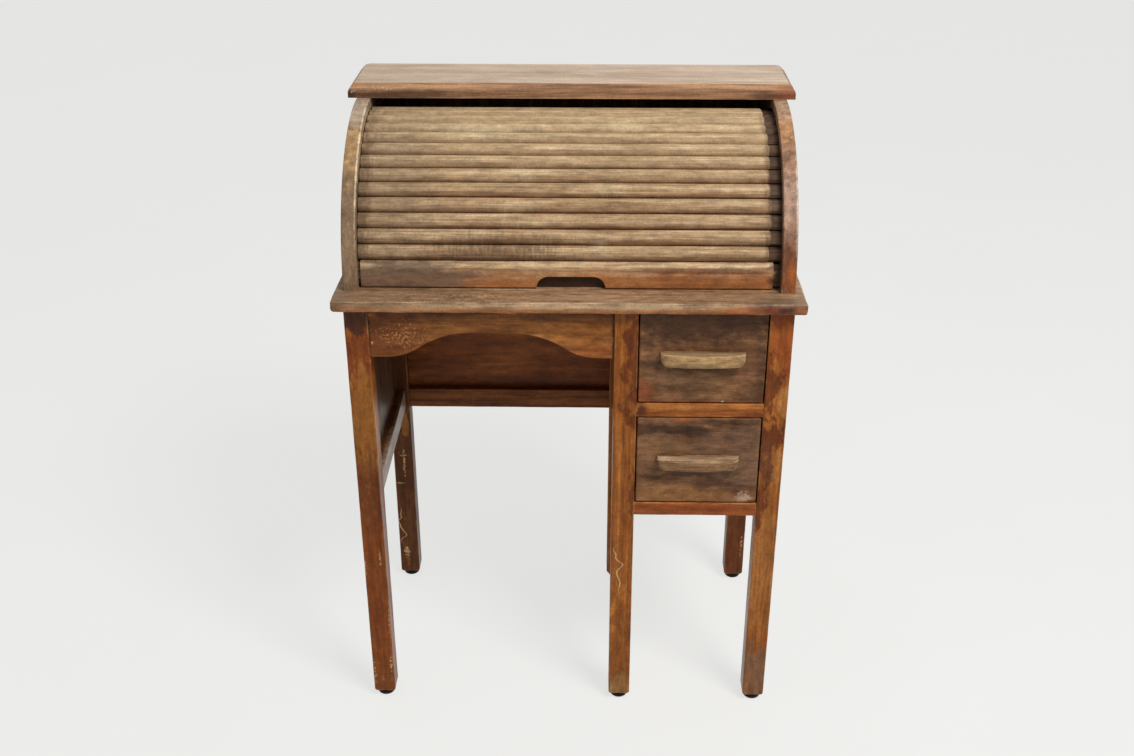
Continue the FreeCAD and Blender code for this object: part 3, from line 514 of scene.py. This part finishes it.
# Drawer runners
# Softwood strips glued to the rails and panels inside the pedestal carry the drawers.
# They were left raw, and have yellowed.

# Pale, dry and straight-grained, much lighter than the fronts
raw_wood = stained_wood(
    "raw_pine_drawer_boxes", "y", ("#a08059", "#b6976c", "#c4a981"), stain="#8f7050", bare="#c9b08a",
    stained=0.3, gloss=0.6, mottled=0.15)
dress(raw_wood, "drawer_runners")


# Drawers
# Each front is a hardwood board, stained darkest of all, with the box behind it left raw.
# Sides are nailed to the front and back, and the bottom is set in a little above their lower edges.

# Smoky brown, clouded darker along the grain, with dried spills, an orange lower edge, a pale knock and
# painted shade under the lower pull
drawer_front_wood = stained_wood(
    "stained_beech_drawer_fronts", "x", ("#68462d", "#7d5637", "#8f6644"), stain="#4f3222", bare="#94704c",
    stained=0.7, rubbed=0.35, gloss=0.4, bands=(30, 90), clouds=(30, 46), ragged=(16, 16, 10), rim=0.5,
    mottled=0.4, blots=(
        ("#452b1e", 0.8, (176, -162, 626), (150, 20, 48)),
        ("#45291b", 0.5, (108, -162, 560), (22, 20, 30)),
        ("#45291b", 0.55, (258, -162, 530), (16, 20, 50)),
        ("#402719", 0.6, (176, -162, 562), (95, 20, 13)),
        ("#46301f", 0.55, (160, -162, 527), (46, 20, 13)),
        ("#8d6a4a", 0.5, (150, -162, 541), (70, 20, 12)),
        ("#8a5b40", 0.45, (230, -162, 560), (24, 20, 20)),
        ("#8a4525", 0.6, (98, -162, 516), (18, 20, 32)),
        ("#7c4628", 0.5, (97, -162, 422), (10, 20, 52)),
        ("#8d4a26", 0.7, (176, -162, 504), (130, 20, 7)),
        ("#38241a", 0.7, (104, -162, 463), (30, 20, 15)),
        ("#3d281d", 0.65, (150, -162, 464), (48, 20, 10)),
        ("#3d281d", 0.6, (200, -162, 474), (46, 20, 6)),
        ("#4a3022", 0.5, (240, -162, 476), (30, 20, 12)),
        ("#99532c", 0.5, (150, -162, 479), (20, 20, 5)),
        ("#976c43", 0.5, (112, -162, 436), (22, 20, 16)),
        # Painted shade: dark bands under the lower pull
        ("#402719", 0.6, (115, -162, 396), (26, 20, 18)),
        ("#3a281a", 0.75, (182, -162, 398), (80, 20, 11)),
        ("#46301f", 0.55, (215, -162, 381), (60, 20, 14)),
        ("#916338", 0.7, (150, -162, 360), (90, 20, 15)),
        ("#38251b", 0.75, (168, -162, 461), (36, 20, 11)),
    ), pools=(
        ("#7d5b3e", 0.65, (118, -162, 425), (50, 20, 34)),
        ("#765743", 0.6, (257, -162, 425), (97, 20, 48)),
    ), chips=(
        ("#dccfb8", 0.75, (205, -162, 507), (3.5, 6, 4), 0.55),
        ("#c9a58d", 0.65, (241, -162, 357), (10, 12, 9), 0.74),
        ("#a56a3a", 0.6, (232, -162, 349), (44, 12, 7), 0.6),
        ("#96654a", 0.6, (225, -162, 540), (40, 12, 24), 0.45),
        ("#8a5b3c", 0.6, (150, -162, 452), (70, 12, 24), 0.38),
    ))
for drawer in ("upper", "lower"):
    worn_board(f"{drawer}_drawer_front", drawer_front_wood, "drawer_front_wood", round_to=2.5, step=12)
    dress(raw_wood, *(f"{drawer}_drawer_{part}" for part in ("left_side", "right_side", "bottom", "back")))


# Pulls
# A bowed wooden pull, shaped and rounded, is held to each front by two screws from inside.
# Fingers have worn it almost bare, and rounded its lower corners away.
PULL_BOW, PULL_ARRIS, PULL_PLAN_CORNER, PULL_LOWER_CORNER = 6.0, 2.4, (7.0, 3.5), (9.5, 12.0)

# Sections along a pull, steps round its upper and lower front edges, and how far the upper one is rubbed and
# brightened with a painted highlight
PULL_STEPS, BROW_STEPS, FOOT_STEPS = 64, 6, 4
BROW_RUB_AND_HIGHLIGHT = (0.2, 0.6, 0.9, 0.9, 0.6, 0.2, 0)


def loft(rings):
    """Points and faces of a closed skin over rings of equal length, with both ends capped."""
    size = len(rings[0])
    points = [point for ring in rings for point in ring]
    faces = [list(range(size))[::-1], list(range(len(points) - size, len(points)))]
    for start in range(0, len(points) - size, size):
        for i in range(size):
            j = (i + 1) % size
            faces.append([start + i, start + j, start + size + j, start + size + i])
    return points, faces


def worn_pull(node, slope, material):
    """A bowed pull in a node's box, its ends rounded off and its top worn down towards the front."""
    low, high = [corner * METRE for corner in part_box(node)]
    middle, half = (low + high) / 2, (high - low) / 2

    def cut(near, reach, depth):
        """How deep a rounded corner cuts in, near an end of the pull."""
        return depth * (1 - math.sqrt(1 - max(1 - near / reach, 0) ** 2))

    rings = []
    edges = []
    for i in range(PULL_STEPS + 1):
        share = -math.cos(math.pi * i / PULL_STEPS)
        near = half.x * (1 - abs(share))
        front = low.y + PULL_BOW * share ** 2 + cut(near, *PULL_PLAN_CORNER)
        foot = low.z + cut(near, *PULL_LOWER_CORNER)
        brow = high.z - slope
        arris = min(PULL_ARRIS, (brow - foot) / 3)
        x = middle.x + half.x * share
        back = [(x, high.y, high.z), (x, (high.y + front) / 2, (high.z + brow) / 2)]
        bend = []
        for turn in range(BROW_STEPS + 1):
            angle = math.pi / 2 * turn / BROW_STEPS
            bend.append((x, front + arris * (1 - math.sin(angle)), brow - arris * (1 - math.cos(angle))))
        below = []
        for turn in range(FOOT_STEPS + 1):
            angle = math.pi / 2 * turn / FOOT_STEPS
            below.append((x, front + arris * (1 - math.cos(angle)), foot + arris * (1 - math.sin(angle))))
        below.append((x, high.y, foot))
        rings.append(back + bend + below)
        edges += [0] * len(back) + list(BROW_RUB_AND_HIGHLIGHT) + [0] * len(below)
    piece = make_piece(f"worn_{node}", *loft(rings), frame["nodes"][node]["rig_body"], material, "pull_wood")
    note(piece, "edge", edges)
    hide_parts(node)


# Bare wood gone tan, pale along the ridge that fingers polish, where a painted highlight is added too. The
# lower pull has a darker front
PULLS = (
    ("upper", 0.0, ("#967550", "#b39162")),
    ("lower", 2.6, ("#70533a", "#8a6846")),
)
for drawer, slope, front_tones in PULLS:
    pull_wood = stained_wood(
        f"worn_beech_{drawer}_pull", "x", ("#8f7050", "#a98868", "#bb9c7b"), stain="#7b6047",
        bare="#d4ba90", stained=0.6, rubbed=0.6, gloss=0.48, bands=(4, 90), clouds=(10, 40),
        bevels=front_tones, rim=0.4, blots=(
            # Painted shade at the left end of each pull
            ("#4f361f", 0.6, (118, -170, 560), (12, 40, 16)),
            ("#4f361f", 0.6, (112, -170, 412), (12, 40, 16)),
        ))
    worn_pull(f"{drawer}_drawer_pull", slope, pull_wood)

# Grey and clean, because they stay inside the drawers
screw_steel = plain_metal("zinc_plated_steel_screws", ("#8f8d86", "#b7b5ad"), roughness=0.38, grit=1.5)
dress(screw_steel, "upper_pull_screws", "lower_pull_screws")


# Desk top
# One wide board, screwed down on the legs, with its front and side edges rounded over.
# Sleeves have worn the varnish off its front edge, and its underside corner is still orange.

# Grey-tan and streaky, almost bare, with a pale front edge, partly worn bare and partly a painted highlight,
# over an orange line
desk_top_wood = stained_wood(
    "worn_beech_desk_top", "x", ("#7f5f44", "#9c7959", "#b08d6b"), stain="#6d4f38", bare="#d6b890",
    stained=0.6, rubbed=0.7, gloss=0.46, clouds=(24, 110), ragged=(40, 14, 12), mottled=0.4, blots=(
        ("#7c634a", 0.5, (-235, -175, 656), (140, 50, 12)),
        ("#a05f30", 0.75, (0, -182, 640), (700, 12, 10)),
        ("#7c5d43", 0.4, (140, -150, 657), (160, 50, 10)),
        # Worn bare and a painted highlight: a pale band along the upper front edge
        ("#d6b892", 0.45, (30, -180, 651), (260, 6, 5)),
        ("#6a5543", 0.6, (270, -176, 654), (60, 30, 12)),
        ("#a4592a", 0.65, (214, -181, 644), (34, 10, 10)),
        ("#7a2f1a", 0.7, (256, -181, 647), (26, 8, 8)),
        ("#3d2119", 0.75, (280, -181, 645), (20, 8, 8)),
        ("#a65f33", 0.6, (297, -181, 646), (14, 12, 9)),
    ), chips=(
        ("#553d2b", 0.55, (-140, -164, 657), (260, 50, 20), 0.48),
        ("#cdb28c", 0.5, (60, -170, 656), (320, 30, 16), 0.46),
        ("#5d422d", 0.5, (120, -166, 657), (240, 50, 20), 0.46),
    ))
worn_board("desk_top", desk_top_wood, "top_wood", round_to=4.5, step=14)


# Arch sides
# Two quarter-round sides sawn from thick board carry the curtain in a groove in their inner faces.
# They are screwed up through the desk top. Their curved front edges show the rubbed stain.

# Grey-brown, greener at the left and redder at the right, with painted highlight lines along the inner edge
# of the left side and the outer edge of the right
arch_wood = stained_wood(
    "stained_beech_arch_sides", "z", ("#735340", "#8f6b53", "#a5826a"), stain="#614029", bare="#d0b48c",
    stained=0.6, rubbed=0.8, bands=(11, 60), clouds=(26, 60), mottled=0.35, blots=(
        ("#836d53", 0.7, (-283, -60, 740), (60, 220, 190)),
        ("#b8935f", 0.6, (-283, -50, 815), (22, 70, 60)),
        ("#b98a5e", 0.65, (283, -20, 842), (22, 50, 34)),
        ("#c49f88", 0.45, (283, -108, 762), (22, 40, 40)),
        ("#6b3a20", 0.7, (283, -142, 690), (22, 18, 44)),
        ("#b3622a", 0.6, (288, -148, 678), (12, 22, 26)),
        ("#b9a58d", 0.75, (-283, 12, 852), (22, 60, 30)),
        ("#b59478", 0.6, (283, 20, 856), (22, 40, 20)),
        # Painted highlights: thin bright lines along an edge of each side's front
        ("#e3cfae", 0.75, (-274.9, -60, 800), (1.5, 130, 110)),
        ("#dcc0a8", 0.7, (291.1, -105, 765), (1.5, 80, 70)),
    ))
dress(arch_wood, "left_arch_side", "right_arch_side")


# Pigeonholes and upper back
# A shelf on three dividers stands at the back of the writing surface, with a thin plywood back behind it.
# The upper back panel is nailed on behind the curtain, and has the dark stain of the panels below it.

# A light even brown that dust and hands have left alone
inner_wood = stained_wood(
    "stained_plywood_pigeonholes", "x", ("#855f3a", "#9c7549", "#ac8558"), stain="#75522f", bare="#b9986a",
    stained=0.35, gloss=0.5, mottled=0.2)
dress(inner_wood, "pigeonhole_back", "pigeonhole_shelf", "pigeonhole_dividers")
dress(panel_wood, "upper_back_panel")


# Curtain slats
# Fourteen half-round hardwood mouldings, glued to canvas, with a tongue cut at both ends of each.
# The tongues slide in the grooves of the arch sides. Hands have rubbed the crowns pale.
SLATS, FIRST_SLAT, SLAT_PITCH = 14, 35.3, 20.3
SLAT_LEFT, SLAT_RIGHT = -272.9, 261.4
SLAT_HALF, SLAT_THICK, SLAT_SIDE = 9.8, 8.5, 2.0

# The centre of the arch, the path's radius on it and round the bend behind it, and where the bend starts
ARC_Y, ARC_Z = 55.0, 656.0
ARCH_PATH, BEND_PATH, BEND_TURN = 181.5, 119.98, math.radians(76)


def on_curtain(distance):
    """A function that sets a point about a place on the curtain's path, which is a distance along it.

    The point is given as x, out of the desk, and along the travel.
    """
    bend_start = ARCH_PATH * BEND_TURN
    turn = min(distance / ARCH_PATH, BEND_TURN) + max(distance - bend_start, 0) / BEND_PATH
    on_arch = min(turn, BEND_TURN)
    y = ARC_Y + (BEND_PATH - ARCH_PATH) * math.cos(on_arch) - BEND_PATH * math.cos(turn)
    z = ARC_Z + (ARCH_PATH - BEND_PATH) * math.sin(on_arch) + BEND_PATH * math.sin(turn)

    def put(x, out, along):
        return (
            x,
            y - out * math.cos(turn) + along * math.sin(turn),
            z + out * math.sin(turn) + along * math.cos(turn),
        )

    return put


def on_slat(index):
    """The same for a slat, counted from the lead rail."""
    return on_curtain(FIRST_SLAT + SLAT_PITCH * (index - 0.5))


# Steps from a slat's crown to each side, and along it, closer together at its ends
CROWN_STEPS, CROWN_REACH, SIDE_ARRIS = 8, 0.98, 0.6
SLAT_STEPS, END_RUNS = 64, (0, 0.5, 1.3, 2.5, 4.2, 6.5)

# How short a free end can be, how far it is worn round and how much it falls there, and dents along a slat
END_SHORT, END_ROUND, END_VARIES, END_FALLS, END_NARROWS = 4.5, 3.4, 2.0, 0.45, 0.3
DENT_DEPTH, DENT_ALONG, DENT_ACROSS = 0.4, 14, 5
# Where the lower half of a slat, with its deeper stain and painted shade, begins, as a share of its half
# width
LOWER_SHADE_FROM = 0.1

# Places in the noises of the ends and dents: how far apart two slats lie, and in which row and layer
SHORT_APART, SHORT_ROW, SHORT_LAYER = 7.3, 2.1, 0.4
ROUND_APART, ROUND_ROW, ROUND_LAYER = 3.7, 9, 0.5
DENT_APART = 5.1


def slat_rings(index):
    """Sections of a half-round slat from left to right, and how far each of their points lies in the lower
    half, which takes deeper stain and painted shade.

    Each slat has its own place in the noises that wear it, so that no two are alike.
    """
    rise = SLAT_THICK - SLAT_SIDE
    crown_radius = (SLAT_HALF ** 2 + rise ** 2) / (2 * rise)
    spread = CROWN_REACH * math.asin(SLAT_HALF / crown_radius)
    section = [(0, -SLAT_HALF), (SLAT_SIDE - SIDE_ARRIS, -SLAT_HALF)]
    for i in range(-CROWN_STEPS, CROWN_STEPS + 1):
        angle = spread * i / CROWN_STEPS
        section.append((SLAT_THICK - crown_radius * (1 - math.cos(angle)), crown_radius * math.sin(angle)))
    section += [(SLAT_SIDE - SIDE_ARRIS, SLAT_HALF), (0, SLAT_HALF)]
    short = END_SHORT * abs(noise.noise(Vector((index * SHORT_APART, SHORT_ROW, SHORT_LAYER))))
    round_to = END_ROUND + END_VARIES * noise.noise(Vector((ROUND_ROW, index * ROUND_APART, ROUND_LAYER)))
    length = SLAT_RIGHT - SLAT_LEFT - short
    inner_length = length - 2 * END_RUNS[-1]
    inner = [END_RUNS[-1] + inner_length * i / SLAT_STEPS for i in range(1, SLAT_STEPS)]
    put = on_slat(index)
    rings = []
    lower_shade = []
    for run in [*END_RUNS, *inner, *(length - n for n in reversed(END_RUNS))]:
        fall = END_FALLS * max(1 - (length - run) / round_to, 0) ** 2
        ring = []
        for out, along in section:
            place = Vector((run / DENT_ALONG, index * DENT_APART, along / DENT_ACROSS))
            dent = DENT_DEPTH * max(noise.noise(place), 0)
            worn = out * (1 - fall - dent / SLAT_THICK)
            ring.append(put(SLAT_LEFT + run, worn, along * (1 - END_NARROWS * fall)))
            stain_and_shade_share = (-along / SLAT_HALF - LOWER_SHADE_FROM) / (1 - LOWER_SHADE_FROM)
            lower_shade.append(min(max(stain_and_shade_share, 0), 1))
        rings.append(ring)
    return rings, lower_shade


# A tongue's length and half its width, the heights of its foot, its side and its top, and its bevels
TONGUE, TONGUE_HALF = 14.5, 9.4
TONGUE_FOOT, TONGUE_SIDE, TONGUE_TOP, TONGUE_BEVEL, TONGUE_TIP = 0.5, 2.2, 5.2, 2.8, 0.6

# How far a tongue reaches into its slat, and further at the free end, past what is worn off
TONGUE_INSET, FREE_TONGUE_INSET = 2, 7


def tongue_rings(put, half, start, end):
    """A tongue from inside the shoulder to its rounded tip, with half its width along the travel."""
    rings = []
    for share, shrink in ((0, 0), (0.9, 0), (1, TONGUE_TIP)):
        x = start + (end - start) * share
        wide, narrow = half - shrink, half - TONGUE_BEVEL - shrink
        side = [(TONGUE_FOOT + shrink, wide), (TONGUE_SIDE - shrink, wide), (TONGUE_TOP - shrink, narrow)]
        lower = [put(x, out, -along) for out, along in reversed(side)]
        rings.append(lower + [put(x, out, along) for out, along in side])
    return rings


def add_mesh(first, second):
    """Two skins as one."""
    start = len(first[0])
    return first[0] + second[0], first[1] + [[start + i for i in face] for face in second[1]]


def tongue_pair(put, half, left, right):
    """The skin of both tongues of a piece, each given as where it starts and where it ends."""
    return add_mesh(loft(tongue_rings(put, half, *right)), loft(tongue_rings(put, half, *left)[::-1]))


# Pale tan crowns over brown hollows, with deeper stain and painted shade on the lower half of each slat, so
# that each slat reads as a rounded bar, and painted light that makes the curtain brighter towards the top
slat_wood = stained_wood(
    "rubbed_beech_slats", "x", ("#997853", "#b0916d", "#c4a784"), stain="#8b6647", bare="#d2ba92",
    stained=0.5, rubbed=0.0, gloss=0.46, bands=(3.5, 150), clouds=(9, 80), ragged=(4, 16, 16),
    # Painted light: the fade pales the slats towards the top of the curtain, where light from above falls on
    # them
    stain_and_shade="#6b432a", fade=("#dcc498", 0.35, 770, 850), blots=(
        ("#857058", 0.4, (-240, -60, 740), (80, 220, 200)),
        # Painted shade: the left ends darken in the shadow of the left arch side, and the right ends darken
        # into the gap at the right
        ("#4a3524", 0.5, (-270, -60, 740), (16, 220, 200)),
        ("#4f3a28", 0.75, (264, -60, 740), (14, 220, 200)),
        ("#d8c294", 0.28, (-68, -97, 756), (34, 30, 9)),
        ("#d8c294", 0.28, (-50, -107, 738), (40, 30, 9)),
        ("#d8c294", 0.25, (48, -86, 776), (30, 30, 9)),
        ("#d3c39c", 0.3, (-120, -20, 832), (90, 30, 10)),
        ("#d8c79c", 0.3, (70, -10, 836), (40, 30, 8)),
        ("#d8c79c", 0.25, (-62, -72, 792), (24, 30, 9)),
        ("#d9c7a2", 0.35, (40, -120, 712), (14, 30, 9)),
        ("#5c3f2b", 0.5, (-80, -119, 714), (110, 30, 16)),
        ("#5c3f2b", 0.55, (-110, -124, 698), (120, 30, 14)),
    ))

# Almost black, with grease and painted shade of the grooves, so that the ends of the slats sink into the
# grooves
shaded_grimy_wood = stained_wood(
    "shaded_grimy_beech_tongues", "x", ("#402d20", "#513b2b", "#5f4834"), stain="#32241c", bare="#5e4836",
    gloss=0.5)

for index in range(1, SLATS + 1):
    node = f"tambour_slat_{index:02d}"
    rings, lower_shade = slat_rings(index)
    skin = loft(rings)
    slat_faces = len(skin[1])
    skin = add_mesh(skin, tongue_pair(
        on_slat(index), TONGUE_HALF, (SLAT_LEFT + TONGUE_INSET, SLAT_LEFT - TONGUE),
        (SLAT_RIGHT - FREE_TONGUE_INSET, SLAT_RIGHT + TONGUE)))
    slat = make_piece(f"half_round_slat_{index:02d}", *skin, node, slat_wood, "curtain_wood")
    slat.data.materials.append(shaded_grimy_wood)
    for face in slat.data.polygons[slat_faces:]:
        face.material_index = 1
        face.use_smooth = False
    note(slat, "stain_and_shade", lower_shade + [0.0] * (len(skin[0]) - len(lower_shade)))
    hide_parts(node)


# Canvas
# Cotton duck glued behind the slats, one strip for each slat, so that the curtain bends.
# It is cut a little short of the slats' ends, where the tongues are.
CANVAS_MARGIN, CANVAS_THICK, CANVAS_STEPS = 24.0, 0.8, 40

# Its front stands just clear of the slat, and puckers that differ from strip to strip move both faces
CANVAS_FRONT, LEAST_FRONT, PUCKER_DEPTH, PUCKER_LENGTH, PUCKER_APART = 0.05, 0.02, 0.2, 20, 2.3

# A soiled cream cloth with a plain weave, dull all over
canvas_cloth, canvas_tree, canvas_shader, canvas_place = blank_material("cotton_duck_canvas")
canvas_soil = streaks(canvas_tree, canvas_place, with_grain("x", width=12, length=30), detail=4.0)
canvas_colour = add(canvas_tree, "ValToRGB", {"Fac": canvas_soil}, stops=(
    (0.35, "#8f8063"), (0.5, "#b3a483"), (0.65, "#c9bc9c")))

# Threads are about 0.6 mm apart, too fine to show, and drawn 1.6 mm apart
THREAD_TURN = 2 * math.pi / 1.6
canvas_axes = add(canvas_tree, "SeparateXYZ", {"Vector": canvas_place})
canvas_warp = add(canvas_tree, "Math", {0: canvas_axes, 1: THREAD_TURN * METRE}, operation="MULTIPLY")
canvas_warp = add(canvas_tree, "Math", {0: canvas_warp}, operation="SINE")
canvas_across = add(canvas_tree, "Attribute", {}, out="Fac", attribute_name="across")
canvas_weft = add(canvas_tree, "Math", {0: canvas_across, 1: THREAD_TURN}, operation="MULTIPLY")
canvas_weft = add(canvas_tree, "Math", {0: canvas_weft}, operation="SINE")
canvas_weave = add(canvas_tree, "Math", {0: canvas_warp, 1: canvas_weft}, operation="MULTIPLY")
canvas_relief = add(canvas_tree, "Bump", {"Height": canvas_weave, "Strength": 0.4, "Distance": 0.4 / METRE})
feed(canvas_tree, canvas_shader, {"Base Color": canvas_colour, "Normal": canvas_relief, "Roughness": 0.9})

left, right = SLAT_LEFT + CANVAS_MARGIN, SLAT_RIGHT - CANVAS_MARGIN
canvas_section = [(CANVAS_FRONT, along) for along in (-1, 0, 1)]
canvas_section += [(CANVAS_THICK, along) for along in (1, 0, -1)]
for index in range(1, SLATS + 1):
    put = on_slat(index)
    rings = []
    acrosses = []
    for i in range(CANVAS_STEPS + 1):
        x = left + (right - left) * i / CANVAS_STEPS
        ring = []
        for back, along in canvas_section:
            pucker = PUCKER_DEPTH * noise.noise(Vector((x / PUCKER_LENGTH, index * PUCKER_APART, along)))
            depth = min(max(back + pucker, LEAST_FRONT), CANVAS_THICK)
            ring.append(put(x, -depth, along * SLAT_HALF))
            acrosses.append(along * SLAT_HALF)
        rings.append(ring)
    node = f"tambour_slat_{index:02d}"
    strip = make_piece(f"canvas_strip_{index:02d}", *loft(rings), node, canvas_cloth, "curtain_wood")
    note(strip, "across", acrosses)


# Lead rail
# A taller board that leads the curtain down to the desk top, rounded off towards the first slat.
# A finger notch is cut in its lower edge. It hangs from the canvas, and runs on tongues of its own.

# Rubbed pale above and still orange below, smoky at the left, with painted shade in the notch and at both
# ends, which run into the grooves
lead_wood = stained_wood(
    "rubbed_beech_lead_rail", "x", ("#a5825f", "#cbab84", "#dac09a"), stain="#7d5d41", bare="#c5ad88",
    rubbed=0.15, gloss=0.38, clouds=(12, 90), fade=("#9f6233", 0.9, 688, 672), ragged=(30, 30, 9), rim=0.4,
    blots=(
        ("#64321a", 0.6, (180, -135, 682), (120, 30, 7)),
        ("#735d4b", 0.85, (-240, -135, 668), (150, 30, 40)),
        ("#7d4422", 0.4, (200, -135, 668), (110, 30, 16)),
        # Painted shade: the back of the finger notch near black, and both ends dark where they run into the
        # grooves
        ("#2a1b13", 0.95, (2.75, -128, 663), (300, 6, 19)),
        ("#3f2c20", 0.95, (276, -135, 664), (20, 60, 60)),
        ("#332319", 0.95, (-288, -135, 664), (20, 60, 60)),
    ), chips=(
        ("#a08768", 0.6, (-205, -139, 664), (90, 12, 30), 0.42),
    ))
dress(lead_wood, "tambour_lead_rail")

# Its tongues are almost as tall as the board, and as grimy and as darkened with painted shade as those of
# the slats
LEAD_SHIFT, LEAD_TONGUE_HALF = 2.5, 15.5
lead_left, lead_right = SLAT_LEFT + LEAD_SHIFT, SLAT_RIGHT + LEAD_SHIFT
lead_skin = tongue_pair(
    on_curtain(FIRST_SLAT / 2), LEAD_TONGUE_HALF, (lead_left + TONGUE_INSET, lead_left - TONGUE),
    (lead_right - TONGUE_INSET, lead_right + TONGUE))
lead_body = frame["nodes"]["tambour_lead_rail"]["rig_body"]
lead_tongues = make_piece("lead_rail_tongues", *lead_skin, lead_body, shaded_grimy_wood, "curtain_wood")
for face in lead_tongues.data.polygons:
    face.use_smooth = False


# Top board
# The board over the arch sides, with a bevel worked along its upper edges and eased into its sides.
# It is screwed down from above. Dust and light have faded its top, and its front corner is bruised.

# A dusty pinkish tan, almost even, framed by the browner bevel
top_board_wood = stained_wood(
    "faded_beech_top_board", "x", ("#bba28a", "#c7ae95", "#cfb8a0"), stain="#aa9178", bare="#d8c3a2",
    rubbed=0.35, gloss=0.5, bands=(16, 260), clouds=(40, 160), mottled=0.12, bevels=("#7a563d", "#b08560"),
    ragged=(30, 9, 9), blots=(
        ("#4a3325", 0.65, (-225, 52, 862), (110, 12, 9)),
        ("#3a281d", 0.7, (-301, 52, 862), (10, 14, 9)),
        ("#86452b", 0.6, (298, 56, 862), (26, 20, 14)),
        ("#4f2c25", 0.5, (262, 52, 862), (24, 10, 8)),
    ), chips=(
        ("#e6d8ba", 0.75, (-296, 53, 867), (9, 12, 6), 0.48),
        ("#e0cfae", 0.8, (-262, 55, 870), (70, 12, 8), 0.44),
    ))
dress(top_board_wood, "top_board")


# Studio
# A plain pale floor, a large soft lamp high at the front right, and even light all round.
FLOOR_REACH, FLOOR_CLOUD = 9.0, 420

# Off-white, with hardly a cloud in it
floor_paint, floor_tree, floor_shader, floor_place = blank_material("pale_floor_paint")
floor_cloud = streaks(floor_tree, floor_place, [FLOOR_CLOUD] * 3, detail=2.0)
floor_colour = add(floor_tree, "ValToRGB", {"Fac": floor_cloud}, stops=(
    (NOISE_LOW, "#e2e1dc"), (NOISE_HIGH, "#e8e7e3")))
feed(floor_tree, floor_shader, {"Base Color": floor_colour, "Roughness": 0.8})


def in_view(tree):
    """One for a ray from the camera, or one that a reflection or glass sends on."""
    straight = add(tree, "LightPath", {}, out="Is Camera Ray")
    ways = straight.node.outputs
    mirrored = add(tree, "Math", {0: straight, 1: ways["Is Glossy Ray"]}, operation="MAXIMUM")
    return add(tree, "Math", {0: mirrored, 1: ways["Is Transmission Ray"]}, operation="MAXIMUM")


# Where it is in view, most of the floor's tone is its own pale light, so that shadows stay soft
floor_glow = add(floor_tree, "Emission", {"Color": linear("#f6f6f4"), "Strength": 1.0})
floor_share = add(floor_tree, "Math", {0: in_view(floor_tree), 1: 0.75}, operation="MULTIPLY")
floor_mix = add(floor_tree, "MixShader", {0: floor_share, 1: floor_shader.outputs[0], 2: floor_glow})
feed(floor_tree, floor_tree.nodes["Material Output"], {"Surface": floor_mix})
floor_mesh = bpy.data.meshes.new("floor")
floor_corners = [(x * FLOOR_REACH, y * FLOOR_REACH, 0) for x, y in ((-1, -1), (1, -1), (1, 1), (-1, 1))]
floor_mesh.from_pydata(floor_corners, [], [(0, 1, 2, 3)])
floor_mesh.materials.append(floor_paint)
floor = bpy.data.objects.new("floor", floor_mesh)
bpy.context.collection.objects.link(floor)

# The lamp is a metre wide, and aimed at the middle of the desk
LAMP_PLACE, LAMP_AIM = Vector((1.25, -1.5, 3.0)), Vector((0, 0, 0.5))
lamp = bpy.data.lights.new("key_lamp", "AREA")
lamp.size = 1.0
lamp.energy = 72
key_lamp = bpy.data.objects.new("key_lamp", lamp)
key_lamp.location = LAMP_PLACE
key_lamp.rotation_euler = (LAMP_AIM - LAMP_PLACE).to_track_quat("-Z", "Y").to_euler()
bpy.context.collection.objects.link(key_lamp)

# The world lights evenly, and looks pale where the camera or a reflection sees it
world = bpy.data.worlds.new("pale_room")
world.use_nodes = True
bpy.context.scene.world = world
world_tree = world.node_tree
world_strength = add(world_tree, "MapRange", {"Value": in_view(world_tree), "To Min": 0.42, "To Max": 0.92})
feed(world_tree, world_tree.nodes["Background"], {"Color": linear("#f4f6fa"), "Strength": world_strength})

# The camera stands in front, a little right of the middle, and looks down at the desk
lens = bpy.data.cameras.new("camera")
lens.lens = 41.7
lens.sensor_width = 36.0
lens.sensor_fit = "HORIZONTAL"
camera = bpy.data.objects.new("camera", lens)
camera.location = (0.02665, -1.7109, 1.3250)
camera.rotation_euler = [math.radians(angle) for angle in (63.134, 0.03, 1.041)]
bpy.context.collection.objects.link(camera)
bpy.context.scene.camera = camera
bpy.context.scene.view_settings.view_transform = "Standard"
